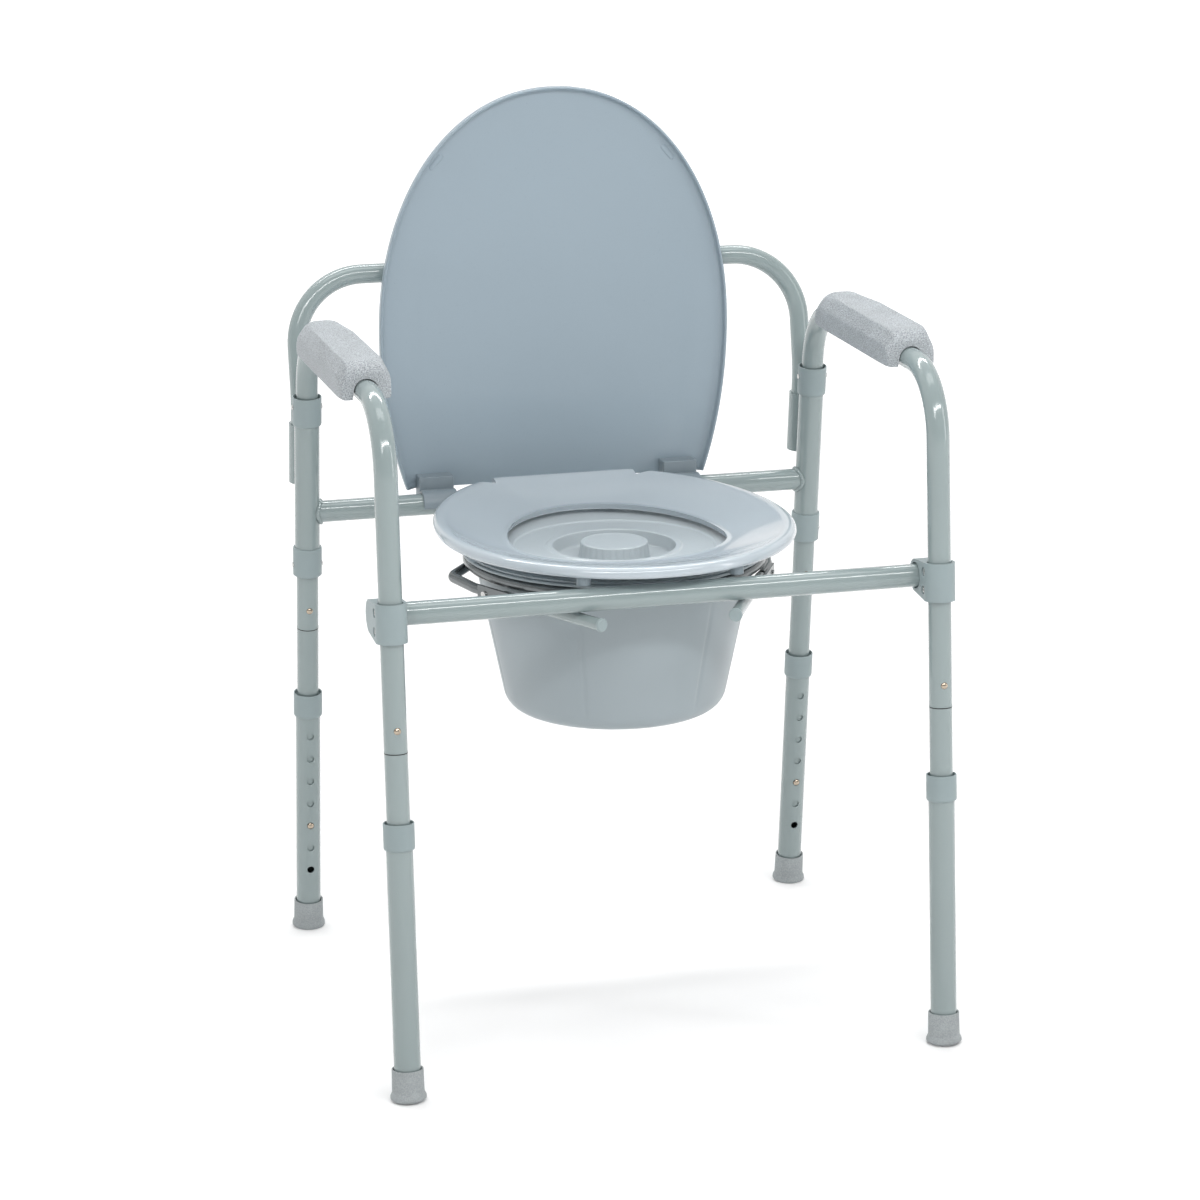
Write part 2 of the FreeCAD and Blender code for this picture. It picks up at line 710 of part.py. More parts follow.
def make_seat():
    """Dished oval ring with a rolled rim, notched at the rear for the hinges."""
    under = seat_wire(SEAT_UNDER_INSET, SEAT_RIM_LOW_Z)
    edge = seat_wire(0, SEAT_EDGE_Z)
    rim = loft([under, edge], True)
    shoulder = seat_wire(SEAT_SHOULDER_INSET, SEAT_SHOULDER_Z)
    crown = loft([edge, shoulder, seat_wire(SEAT_CROWN_INSET, SEAT_TOP_Z)], True)
    throat_top = seat_wire(SEAT_THROAT_INSET, SEAT_RIM_LOW_Z)
    throat = loft([opening_wire(-SEAT_WALL, OPENING_LOW_Z), throat_top], True)
    shape = rim.fuse(crown).fuse(throat)
    half_w = SEAT_HALF_W + CUT_MARGIN
    low_z = OPENING_LOW_Z - CUT_MARGIN
    high_z = SEAT_TOP_Z + CUT_MARGIN
    rear_y = SEAT_MID_Y + SEAT_REAR + CUT_MARGIN
    dish = loft([opening_wire(0, OPENING_TOP_Z), seat_wire(SEAT_DISH_INSET, SEAT_TOP_Z)], True)
    opening = loft([opening_wire(0, low_z), opening_wire(0, high_z)], True)
    shape = shape.cut(dish).cut(opening)
    behind = block(Vector(-half_w, SEAT_REAR_EDGE_Y, low_z), Vector(half_w, rear_y, high_z))
    over_bar = block(Vector(-half_w, TAB_FRONT_Y, low_z), Vector(half_w, rear_y, TAB_LOW_Z))
    shape = shape.cut(behind).cut(over_bar)
    for side in SIDES.values():
        notch_x = sorted((side * NOTCH_INNER_X, side * NOTCH_OUTER_X))
        notch = block(Vector(notch_x[0], NOTCH_FRONT_Y, low_z), Vector(notch_x[1], rear_y, high_z))
        shape = shape.cut(notch)
    return shape


def c_clip(x, width, outer_r, mouth):
    """Snap clip around the rear bar; its mouth is a sector between two angles in the YZ plane."""
    start = Vector(x - width / 2, BAR_Y, BAR_Z)
    ring = tube(outer_r, TUBE_R + SLIDE_GAP, start, X_AXIS, width)
    corners = [start]
    for angle in mouth:
        radians = math.radians(angle)
        corners.append(start + Vector(0, math.cos(radians), math.sin(radians)) * (3 * outer_r))
    wedge = Part.Face(Part.makePolygon(corners + corners[:1])).extrude(X_AXIS * width)
    return ring.cut(wedge)


def clip_bore(x, width):
    """Cutting shape for the rear bar's passage through a clip."""
    start = Vector(x - width / 2 - CUT_MARGIN, BAR_Y, BAR_Z)
    return cylinder(TUBE_R + SLIDE_GAP, start, X_AXIS, width + 2 * CUT_MARGIN)


def make_seat_clips():
    """Snap clips under the seat's rear tab, each with a foot that meets the tab."""
    clips = []
    half_w = SEAT_CLIP_W / 2
    for side in SIDES.values():
        x = side * SEAT_CLIP_X
        clip = c_clip(x, SEAT_CLIP_W, SEAT_CLIP_R, SEAT_CLIP_MOUTH)
        foot = block(Vector(x - half_w, BAR_Y - SEAT_CLIP_FOOT_FRONT, BAR_Z),
                     Vector(x + half_w, BAR_Y + SEAT_CLIP_FOOT_REAR, TAB_LOW_Z))
        above_tab = block(Vector(x - half_w, BAR_Y - 2 * SEAT_CLIP_R, TAB_LOW_Z),
                          Vector(x + half_w, BAR_Y + 2 * SEAT_CLIP_R, SEAT_TOP_Z))
        clips.append(clip.fuse(foot).cut(clip_bore(x, SEAT_CLIP_W)).cut(above_tab))
    return group(clips)


def make_seat_bumpers(seat):
    """Rubber buttons under the rim, trimmed to the seat's underside."""
    bumpers = []
    for x, y in SEAT_BUMPERS:
        for side in SIDES.values():
            low = Vector(side * x, y, BUMPER_LOW_Z)
            post = cylinder(BUMPER_R, low, Z_AXIS, SEAT_EDGE_Z - BUMPER_LOW_Z)
            trimmed = post.cut(seat)
            bumpers.append(min(trimmed.Solids, key=lambda solid: solid.CenterOfMass.z))
    return group(bumpers)


# ---- Lid ---------------------------------------------------------------------

def lid_half_width(height, inset):
    """Half width of the lid's outline at a height above its widest line."""
    if height >= 0:
        ratio = min(height / (LID_UP - inset), 1)
        return (LID_HALF_W - inset) * (1 - ratio ** LID_POWER) ** (1 / LID_POWER)
    ratio = height / (LID_DOWN - inset)
    return (LID_HALF_W - inset) * math.sqrt(1 - ratio ** 2)


def lid_wire(inset, depth):
    """Closed outline of the lid in its own plane, flat along the bottom edge."""
    drop = LID_CUT_Z - LID_MID_Z
    heights = [drop * index / (LID_STEPS / 2) for index in range(LID_STEPS // 2, 0, -1)]
    for index in range(LID_STEPS + 1):
        angle = math.pi / 2 * index / LID_STEPS
        heights.append((LID_UP - inset) * math.sin(angle))
    y = BAR_Y + depth
    right = [Vector(lid_half_width(height, inset), y, LID_MID_Z + height) for height in heights]
    left = [Vector(-point.x, point.y, point.z) for point in reversed(right[:-1])]
    curve = Part.BSplineCurve()
    curve.interpolate(right + left)
    base = Part.LineSegment(left[-1], right[0])
    return Part.Wire([curve.toShape(), base.toShape()])


def make_lid():
    """Shallow tray: a thin panel with a lip that turns down around the seat's rim."""
    blank = loft([
        lid_wire(0, LID_LIP_D),
        lid_wire(0, LID_BACK_D - LID_EDGE_ROUND),
        lid_wire(LID_EDGE_ROUND, LID_BACK_D),
    ], True)
    cavity = loft([lid_wire(LID_LIP_T, LID_LIP_D - CUT_MARGIN), lid_wire(LID_LIP_T, LID_PANEL_D)], True)
    mouth_half_w = lid_half_width(LID_CUT_Z - LID_MID_Z, LID_LIP_T) - 1
    mouth = block(Vector(-mouth_half_w, BAR_Y + LID_LIP_D - CUT_MARGIN, LID_CUT_Z - CUT_MARGIN),
                  Vector(mouth_half_w, BAR_Y + LID_PANEL_D, LID_CUT_Z + CUT_MARGIN))
    return blank.cut(cavity).cut(mouth)


def make_lid_clips():
    """Hinge clips around the rear bar, each with an arm up to the lid's lower edge."""
    clips = []
    half_w = LID_CLIP_W / 2
    for side in SIDES.values():
        x = side * LID_CLIP_X
        clip = c_clip(x, LID_CLIP_W, LID_CLIP_R, LID_CLIP_MOUTH)
        arm = block(Vector(x - half_w, BAR_Y + LID_ARM_D, BAR_Z + LID_ARM_LOW),
                    Vector(x + half_w, BAR_Y + LID_PANEL_D, BAR_Z + LID_ARM_HIGH))
        clips.append(clip.fuse(arm).cut(clip_bore(x, LID_CLIP_W)))
    return group(clips)


def make_lid_bumpers():
    """Two oblong bumpers on the panel's inner face, tilted to follow the rim."""
    half_length = (LID_BUMPER_L - LID_BUMPER_W) / 2
    half_w = LID_BUMPER_W / 2
    bumpers = []
    for side in SIDES.values():
        centre = Vector(side * LID_BUMPER_X, BAR_Y + LID_PANEL_D - LID_BUMPER_T, LID_BUMPER_Z)
        bar = block(centre - Vector(half_length, 0, half_w),
                    centre + Vector(half_length, LID_BUMPER_T, half_w))
        for end in (-half_length, half_length):
            bar = bar.fuse(cylinder(half_w, centre + X_AXIS * end, Y_AXIS, LID_BUMPER_T))
        bar.rotate(centre, Y_AXIS, side * LID_BUMPER_TILT)
        bumpers.append(bar)
    return group(bumpers)


# ---- Pail --------------------------------------------------------------------

def make_pail():
    """Tapered open pail with a rounded bottom corner and a flat flange at the rim."""
    slope = (PAIL_RIM_R - PAIL_BOTTOM_R) / (PAIL_RIM_Z - PAIL_BOTTOM_Z)
    corner_r = PAIL_BOTTOM_R + slope * PAIL_CORNER_R - PAIL_CORNER_R
    corner_z = PAIL_BOTTOM_Z + PAIL_CORNER_R
    inner_corner_r = PAIL_CORNER_R - PAIL_WALL
    outer = [(0, PAIL_BOTTOM_Z)]
    inner = [(0, PAIL_BOTTOM_Z + PAIL_WALL)]
    for index in range(PAIL_CORNER_STEPS + 1):
        angle = math.pi / 2 * index / PAIL_CORNER_STEPS
        across = math.sin(angle)
        down = math.cos(angle)
        outer.append((corner_r + PAIL_CORNER_R * across, corner_z - PAIL_CORNER_R * down))
        inner.append((corner_r + inner_corner_r * across, corner_z - inner_corner_r * down))
    outer.append((PAIL_RIM_R, PAIL_RIM_Z - FLANGE_T))
    outer.append((FLANGE_R, PAIL_RIM_Z - FLANGE_T))
    outer.append((FLANGE_R, PAIL_RIM_Z))
    inner.append((PAIL_RIM_R - PAIL_WALL, PAIL_RIM_Z))
    return revolve(outer + inner[::-1], Vector(0, PAIL_Y, 0))


def make_pail_cover():
    """Disc on the pail's rim with a round recess and a hollow fluted knob standing in it."""
    centre = Vector(0, PAIL_Y, 0)
    recess_low_z = RECESS_FLOOR_Z - COVER_T
    profile = [
        (0, KNOB_TOP_Z - KNOB_WALL),
        (KNOB_TOP_R - KNOB_WALL, KNOB_TOP_Z - KNOB_WALL),
        (KNOB_BASE_R - KNOB_WALL, recess_low_z),
        (RECESS_R + COVER_T, recess_low_z),
        (RECESS_R + COVER_T + RECESS_TAPER, PAIL_RIM_Z),
        (COVER_R, PAIL_RIM_Z),
        (COVER_R, PAIL_RIM_Z + COVER_T),
        (RECESS_R, PAIL_RIM_Z + COVER_T),
        (RECESS_R - RECESS_TAPER, RECESS_FLOOR_Z),
        (KNOB_BASE_R, RECESS_FLOOR_Z),
        (KNOB_TOP_R, KNOB_TOP_Z - KNOB_EDGE),
        (KNOB_TOP_R - KNOB_EDGE, KNOB_TOP_Z),
        (0, KNOB_TOP_Z),
    ]
    flutes = []
    for index in range(KNOB_FLUTES):
        angle = 2 * math.pi * index / KNOB_FLUTES
        outward = Vector(math.cos(angle), math.sin(angle), 0)
        foot = centre + Z_AXIS * (RECESS_FLOOR_Z + 1) + outward * (KNOB_BASE_R + FLUTE_OFFSET)
        top = centre + Z_AXIS * (KNOB_TOP_Z + 1) + outward * (KNOB_TOP_R + FLUTE_OFFSET)
        flutes.append(cylinder(FLUTE_R, foot, top - foot, (top - foot).Length))
    return revolve(profile, centre).cut(flutes)


# ---- Pail holder -------------------------------------------------------------

def make_holder_ring():
    return Part.makeTorus(RING_R, RING_ROD_R, Vector(0, PAIL_Y, RING_Z), Z_AXIS)


def make_holder_hooks():
    """Rods from the ring back to the rear bar, each hooked under and behind it."""
    grip_r = TUBE_R + RING_ROD_R
    ring = make_holder_ring()
    ring_y = PAIL_Y + math.sqrt(RING_R ** 2 - HOOK_X ** 2)
    hooks = []
    for side in SIDES.values():
        bar = Vector(side * HOOK_X, BAR_Y, BAR_Z)
        under = bar - Z_AXIS * grip_r
        arc = [under]
        for fraction in (0.5, 1.0):
            angle = math.radians(HOOK_SWEEP * fraction - 90)
            arc.append(bar + Vector(0, math.cos(angle), math.sin(angle)) * grip_r)
        start = Vector(bar.x, ring_y, under.z)
        path = Part.Wire([Part.LineSegment(start, under).toShape(), Part.Arc(*arc).toShape()])
        pieces = sweep(path, HOOK_ROD_R).cut(ring).Solids
        hooks.append(max(pieces, key=lambda solid: solid.Volume))
    return group(hooks)


def rod_point(side, place, z):
    return Vector(side * place[0], place[1], z)


def rod_ends(side):
    """Front tip and rear end of a holder rod's axis."""
    return rod_point(side, HOLDER_ROD_TIP, HOLDER_ROD_Z), rod_point(side, HOLDER_ROD_END, HOLDER_ROD_Z)


def make_holder_rods():
    """Straight rods that reach out under the front bar."""
    rods = []
    for side in SIDES.values():
        tip, end = rod_ends(side)
        rods.append(cylinder(ROD_R, tip, end - tip, (end - tip).Length))
    return group(rods)


def make_rod_caps():
    """Plastic plugs with a bevelled face on the front ends of the rods."""
    caps = []
    for side in SIDES.values():
        tip, end = rod_ends(side)
        cap = cylinder(CAP_R, tip, tip - end, CAP_LENGTH)
        caps.append(cap.makeChamfer(CAP_CHAMFER, [cap.Edges[0]]))
    return group(caps)


def plate_line(side):
    """Start, direction and outward normal of the flat strap that continues the rod to its loop."""
    tip, end = rod_ends(side)
    along = (end - tip).normalize()
    outward = Vector(along.y, -along.x, 0) * side
    return end - along * PLATE_OVERLAP, along, outward


def make_holder_plates():
    plates = []
    for side in SIDES.values():
        start, along, outward = plate_line(side)
        corner = start + outward * ROD_R - Z_AXIS * (PLATE_W / 2)
        points = [corner, corner + along * PLATE_LENGTH]
        points += [point + Z_AXIS * PLATE_W for point in reversed(points)]
        plates.append(Part.Face(Part.makePolygon(points + points[:1])).extrude(outward * PLATE_T))
    return group(plates)


def make_holder_rivets():
    rivets = []
    for side in SIDES.values():
        start, along, outward = plate_line(side)
        face = start + outward * (ROD_R + PLATE_T)
        for distance in (PLATE_RIVET_INSET, PLATE_LENGTH - PLATE_RIVET_INSET):
            rivets.append(cylinder(PLATE_RIVET_R, face + along * distance, outward, PLATE_RIVET_H))
    return group(rivets)


def make_holder_loops():
    """Bent rods from the straps round the pail's sides, ending under the ring."""
    loops = []
    for side in SIDES.values():
        start, along = plate_line(side)[:2]
        first = start + along * (PLATE_LENGTH - LOOP_OVERLAP)
        points = [
            first,
            first + along * LOOP_STRAIGHT,
            rod_point(side, LOOP_SIDE, HOLDER_ROD_Z),
            rod_point(side, LOOP_END, HOLDER_ROD_Z + LOOP_END_RISE),
        ]
        loops.append(sweep(bent_path(points, LOOP_RADII), LOOP_ROD_R))
    return group(loops)


# ---- Build -------------------------------------------------------------------

for side_name, side_sign in SIDES.items():
    save(side_name + "_side_tube", make_side_tube(side_sign))
    save(side_name + "_armrest_pad", make_pad(side_sign))
    save(side_name + "_pad_screws", group([pad_screw(side_sign, y) for y in pad_screw_stations()]))
    save(side_name + "_rear_sleeve", make_sleeve(side_sign))
    save(side_name + "_back_socket", make_back_socket(side_sign))
    save(side_name + "_upper_bushing", make_bushing(side_sign, True))
    save(side_name + "_lower_bushing", make_bushing(side_sign, False))
    save(side_name + "_leg_bracket", make_leg_bracket(side_sign))
    for end_name, leg_slope in (("front", FRONT_SLOPE), ("rear", REAR_SLOPE)):
        leg_name = side_name + "_" + end_name
        save(leg_name + "_inner_leg", make_inner_leg(side_sign, leg_slope))
        save(leg_name + "_joint_button", make_joint_button(side_sign, leg_slope))
        save(leg_name + "_extension", make_extension(side_sign, leg_slope))
        save(leg_name + "_collar", make_collar(side_sign, leg_slope))
        save(leg_name + "_foot", make_foot(side_sign, leg_slope))
        save(leg_name + "_height_button", make_height_button(side_sign, leg_slope))

seat_shape = make_seat()
save("rear_crossbar", make_rear_crossbar())
save("bushing_rivets", make_bushing_rivets())
save("back_bar", make_back_bar())
save("front_crossbar", make_front_crossbar())
save("bracket_screws", make_bracket_screws())
save("seat", seat_shape)
save("seat_clips", make_seat_clips())
save("seat_bumpers", make_seat_bumpers(seat_shape))
save("lid", make_lid())
save("lid_clips", make_lid_clips())
save("lid_bumpers", make_lid_bumpers())
save("pail", make_pail())
save("pail_cover", make_pail_cover())
save("holder_ring", make_holder_ring())
save("holder_hooks", make_holder_hooks())
save("holder_rods", make_holder_rods())
save("rod_caps", make_rod_caps())
save("holder_plates", make_holder_plates())
save("holder_rivets", make_holder_rivets())
save("holder_loops", make_holder_loops())
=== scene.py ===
import json
import math

import bpy
from mathutils import Matrix, Vector


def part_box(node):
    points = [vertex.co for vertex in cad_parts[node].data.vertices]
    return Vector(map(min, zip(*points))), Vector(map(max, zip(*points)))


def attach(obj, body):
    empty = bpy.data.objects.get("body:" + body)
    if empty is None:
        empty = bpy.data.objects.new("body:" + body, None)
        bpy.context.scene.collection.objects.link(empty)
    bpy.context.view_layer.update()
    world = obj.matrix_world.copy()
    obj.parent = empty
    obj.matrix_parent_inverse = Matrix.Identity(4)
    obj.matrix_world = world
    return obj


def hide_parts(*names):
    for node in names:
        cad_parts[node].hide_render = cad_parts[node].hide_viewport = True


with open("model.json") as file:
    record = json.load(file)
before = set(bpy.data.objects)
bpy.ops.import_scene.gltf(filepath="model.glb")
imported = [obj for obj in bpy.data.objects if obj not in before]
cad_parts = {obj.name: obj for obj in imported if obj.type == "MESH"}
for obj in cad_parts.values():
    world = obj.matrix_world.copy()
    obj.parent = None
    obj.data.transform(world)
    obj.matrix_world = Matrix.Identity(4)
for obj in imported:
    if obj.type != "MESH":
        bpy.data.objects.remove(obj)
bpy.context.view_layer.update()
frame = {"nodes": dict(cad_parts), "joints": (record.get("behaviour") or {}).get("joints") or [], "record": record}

NODES = frame["nodes"]
RECORD = frame["record"]
BODY_OF = {node: body for body, nodes in RECORD["behaviour"]["bodies"].items() for node in nodes}
SLOT_OF = {part["node"]: part["material_slot"] for part in RECORD["subparts"]}
JOINTS = {joint["name"]: joint for joint in frame["joints"]}
SIDES = {"left": -1, "right": 1}
LEGS = [side + "_" + end for side in SIDES for end in ("front", "rear")]

# Colours, linear
PAINT = (0.245, 0.298, 0.300, 1)
FITTING = (0.255, 0.312, 0.322, 1)
# The seat and the lid are one plastic: the seat's colour is painted lighter for its top lit from above, and the
# lid's painted darker for the upright lid in shade
SEAT_BLUE_LIT = (0.425, 0.480, 0.520, 1)
LID_BLUE_SHADED = (0.262, 0.325, 0.372, 1)
PAIL_GREY = (0.285, 0.330, 0.352, 1)
COVER_GREY = (0.430, 0.480, 0.505, 1)
PAD_GREY = (0.345, 0.372, 0.392, 1)
RUBBER_GREY = (0.315, 0.342, 0.350, 1)
HOLDER_DARK = (0.175, 0.188, 0.192, 1)
# painted shade: the seat's blue made darker for the clips and bumpers that sit in shade under the rear bar and the
# seat
CLIP_SHADED_BLUE = (0.205, 0.250, 0.280, 1)
BRASS = (0.460, 0.390, 0.310, 1)
STEEL = (0.560, 0.560, 0.550, 1)
# painted shade: near-black for the shade inside the gap where each upper leg tube ends
GAP_SHADE_BLACK = (0.012, 0.014, 0.015, 1)

# Sizes in metres, measured from the photo where the CAD node does not give them
TUBE_R = 0.0111  # upper legs, side tubes and rear crossbar
SEAM_BELOW_BUTTON = 0.022
CLIP_SLOT_TOP = 0.4762  # height of the top of the slot under the seat's rear tab
UP = Vector((0, 0, 1))


# ---- Materials ---------------------------------------------------------------

GLOSS_GRAIN = 850.0  # noise scale of the uneven gloss, fine enough not to show as blotches
SPECK_DRIFT = 38.0  # noise scale of the slow change in tone on grained skins


def new_material(name):
    """A material with its node tree, its Principled shader and a texture-coordinate socket in metres."""
    material = bpy.data.materials.new(name)
    material.use_nodes = True
    tree = material.node_tree
    shader = tree.nodes["Principled BSDF"]
    place = tree.nodes.new("ShaderNodeTexCoord").outputs["Object"]
    return material, tree, shader, place


def noise(tree, place, scale, detail=3.0, roughness=0.5):
    """Clouded 0 to 1 value."""
    node = tree.nodes.new("ShaderNodeTexNoise")
    node.inputs["Scale"].default_value = scale
    node.inputs["Detail"].default_value = detail
    node.inputs["Roughness"].default_value = roughness
    tree.links.new(place, node.inputs["Vector"])
    return node.outputs["Fac"]


def grains(tree, place, scale):
    """Distance to the middle of the nearest cell, for pebbled relief."""
    node = tree.nodes.new("ShaderNodeTexVoronoi")
    node.inputs["Scale"].default_value = scale
    tree.links.new(place, node.inputs["Vector"])
    return node.outputs["Distance"]


def ramp(tree, value, stops):
    """Colour ramp with (position, colour) stops."""
    node = tree.nodes.new("ShaderNodeValToRGB")
    elements = node.color_ramp.elements
    elements[0].position, elements[0].color = stops[0]
    elements[1].position, elements[1].color = stops[-1]
    for position, colour in stops[1:-1]:
        elements.new(position).color = colour
    tree.links.new(value, node.inputs["Fac"])
    return node.outputs["Color"]


def blend(tree, share, first, second):
    """Mixes two colours by a 0 to 1 share."""
    node = tree.nodes.new("ShaderNodeMixRGB")
    node.inputs["Color1"].default_value = first
    node.inputs["Color2"].default_value = second
    tree.links.new(share, node.inputs["Fac"])
    return node.outputs["Color"]


def spread(tree, value, low, high, start=0.1, end=0.9):
    """Remaps a start to end value to a low to high number."""
    node = tree.nodes.new("ShaderNodeMapRange")
    node.inputs["From Min"].default_value = start
    node.inputs["From Max"].default_value = end
    node.inputs["To Min"].default_value = low
    node.inputs["To Max"].default_value = high
    tree.links.new(value, node.inputs["Value"])
    return node.outputs["Result"]


def bump(tree, heights):
    """Chain of bump nodes from (height, strength, distance in metres) entries."""
    normal = None
    for height, strength, distance in heights:
        node = tree.nodes.new("ShaderNodeBump")
        node.inputs["Strength"].default_value = strength
        node.inputs["Distance"].default_value = distance
        tree.links.new(height, node.inputs["Height"])
        if normal is not None:
            tree.links.new(normal, node.inputs["Normal"])
        normal = node.outputs["Normal"]
    return normal


def shade(colour, factor):
    """Colour made darker or lighter by a factor."""
    return tuple(channel * factor for channel in colour[:3]) + (1,)


def surface(name, colour, variation, tone_scale, roughness, heights, metallic=0.0, coat=0.0):
    """Moulded or painted surface: clouded colour, uneven roughness and fine relief.

    variation is the share by which the colour drifts, roughness a (low, high) pair, and heights a list of
    (kind, scale, strength, distance) for the relief.
    """
    material, tree, shader, place = new_material(name)
    clouds = noise(tree, place, tone_scale, 1.0, 0.4)
    darker, lighter = shade(colour, 1 - variation), shade(colour, 1 + variation)
    tones = blend(tree, spread(tree, clouds, 0.0, 1.0), darker, lighter)
    tree.links.new(tones, shader.inputs["Base Color"])
    rough = spread(tree, noise(tree, place, GLOSS_GRAIN, 1.0, 0.4), *roughness)
    tree.links.new(rough, shader.inputs["Roughness"])
    layers = []
    for kind, scale, strength, distance in heights:
        layers.append((kind(tree, place, scale), strength, distance))
    tree.links.new(bump(tree, layers), shader.inputs["Normal"])
    shader.inputs["Metallic"].default_value = metallic
    shader.inputs["Coat Weight"].default_value = coat
    shader.inputs["Coat Roughness"].default_value = 0.05
    return material


def speckled(name, colour, dark, light, grain_scale, roughness, relief):
    """Grained skin: fine pale and dark specks over a drifting base colour."""
    material, tree, shader, place = new_material(name)
    fine = noise(tree, place, grain_scale, 2.0, 0.65)
    specks = ramp(tree, fine, [(0.34, shade(colour, dark)), (0.5, colour), (0.66, shade(colour, light))])
    clouds = noise(tree, place, SPECK_DRIFT, 4.0, 0.6)
    drift = ramp(tree, clouds, [(0.3, (0.90, 0.90, 0.90, 1)), (0.7, (1.06, 1.06, 1.06, 1))])
    mix = tree.nodes.new("ShaderNodeMixRGB")
    mix.blend_type = "MULTIPLY"
    mix.inputs["Fac"].default_value = 1.0
    tree.links.new(specks, mix.inputs["Color1"])
    tree.links.new(drift, mix.inputs["Color2"])
    tree.links.new(mix.outputs["Color"], shader.inputs["Base Color"])
    tree.links.new(spread(tree, clouds, *roughness), shader.inputs["Roughness"])
    pebbles = grains(tree, place, grain_scale * 0.9)
    normal = bump(tree, [(pebbles, 0.75, relief), (fine, 0.55, relief * 0.7)])
    tree.links.new(normal, shader.inputs["Normal"])
    return material


MATERIALS = {
    "frame_paint": surface("frame_paint", PAINT, 0.03, 14.0, (0.13, 0.19),
                           [(noise, 1400.0, 0.05, 0.00010)], coat=0.5),
    "holder_paint": surface("holder_paint", HOLDER_DARK, 0.10, 60.0, (0.18, 0.28),
                            [(noise, 1400.0, 0.12, 0.00010)], metallic=0.85),
    "fitting_plastic": surface("fitting_plastic", FITTING, 0.03, 40.0, (0.38, 0.48),
                               [(noise, 1500.0, 0.25, 0.00015)]),
    # painted shade: darkened seat blue for the parts in shade under the bar and the seat
    "clip_plastic": surface("clip_plastic", CLIP_SHADED_BLUE, 0.08, 40.0, (0.35, 0.50),
                            [(noise, 1300.0, 0.25, 0.00015)]),
    "seat_plastic": surface("seat_plastic", SEAT_BLUE_LIT, 0.018, 9.0, (0.14, 0.19),
                            [(noise, 900.0, 0.04, 0.00010)], coat=0.6),
    # painted shade: the seat's plastic made darker for the upright lid
    "lid_plastic": surface("lid_plastic", LID_BLUE_SHADED, 0.022, 7.0, (0.26, 0.34),
                           [(noise, 900.0, 0.06, 0.00010)], coat=0.15),
    "pail_plastic": surface("pail_plastic", PAIL_GREY, 0.02, 11.0, (0.30, 0.38),
                            [(noise, 1200.0, 0.06, 0.00010)]),
    "cover_plastic": surface("cover_plastic", COVER_GREY, 0.02, 16.0, (0.26, 0.34),
                             [(noise, 1200.0, 0.05, 0.00010)], coat=0.2),
    "pad_vinyl": speckled("pad_vinyl", PAD_GREY, 0.60, 1.40, 800.0, (0.55, 0.70), 0.00060),
    "foot_rubber": speckled("foot_rubber", RUBBER_GREY, 0.86, 1.14, 800.0, (0.50, 0.75), 0.00015),
    "button_brass": surface("button_brass", BRASS, 0.06, 300.0, (0.16, 0.30),
                            [(noise, 2500.0, 0.15, 0.00010)], metallic=1.0),
    "fastener_steel": surface("fastener_steel", STEEL, 0.06, 300.0, (0.20, 0.34),
                              [(noise, 2500.0, 0.15, 0.00010)], metallic=1.0),
}
# painted shade for the gap at the end of each upper leg tube
PAINTED_GAP_SHADE = surface("painted_gap_shade", GAP_SHADE_BLACK, 0.10, 80.0, (0.6, 0.8),
                      [(noise, 900.0, 0.2, 0.0002)])


def paint(obj, material):
    obj.data.materials.clear()
    obj.data.materials.append(material)


def place_piece(obj, node, material=None):
    """Gives a new piece its CAD node's body and material (that of the node's slot, unless one is given), and hides
    the node.
    """
    slot = SLOT_OF[node]
    paint(obj, material or MATERIALS[slot])
    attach(obj, BODY_OF[node])
    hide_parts(node)


# ---- Mesh helpers ------------------------------------------------------------

def mesh_object(name, points, faces, sharp_angle=40):
    """Smooth-shaded object; edges sharper than the angle stay sharp, none do at 0."""
    mesh = bpy.data.meshes.new(name)
    mesh.from_pydata([tuple(point) for point in points], [], faces)
    mesh.validate()
    mesh.update()
    obj = bpy.data.objects.new(name, mesh)
    bpy.context.scene.collection.objects.link(obj)
    mesh.shade_smooth()
    if sharp_angle:
        mesh.set_sharp_from_angle(angle=math.radians(sharp_angle))
    return obj


def skin(name, rings, closed_profile=False, sharp_angle=40, caps=False):
    """Mesh through rings of equally many points; each ring is a closed loop."""
    count = len(rings[0])
    points = [point for ring in rings for point in ring]
    faces = []
    rows = len(rings) if closed_profile else len(rings) - 1
    for row in range(rows):
        after = (row + 1) % len(rings)
        for column in range(count):
            beside = (column + 1) % count
            faces.append((row * count + column, row * count + beside,
                          after * count + beside, after * count + column))
    if caps:
        faces.append(tuple(reversed(range(count))))
        faces.append(tuple(range((len(rings) - 1) * count, len(rings) * count)))
    return mesh_object(name, points, faces, sharp_angle)


STRAIGHT = 0.02  # turns below this many radians count as straight


def rounded(profile, radii, steps=6):
    """2-D open profile with its inner corners rounded to the given radii."""
    result = [profile[0]]
    for index in range(1, len(profile) - 1):
        before, corner, after = (Vector(point) for point in profile[index - 1:index + 2])
        radius = radii[index - 1]
        into = (corner - before).normalized()
        out = (after - corner).normalized()
        turn = into.angle(out)
        if radius <= 0 or turn < STRAIGHT:
            result.append(tuple(corner))
            continue
        reach = radius * math.tan(turn / 2)
        start = corner - into * reach
        end = corner + out * reach
        for step in range(steps + 1):
            share = step / steps
            first = start.lerp(corner, share)
            second = corner.lerp(end, share)
            result.append(tuple(first.lerp(second, share)))
    result.append(profile[-1])
    return result


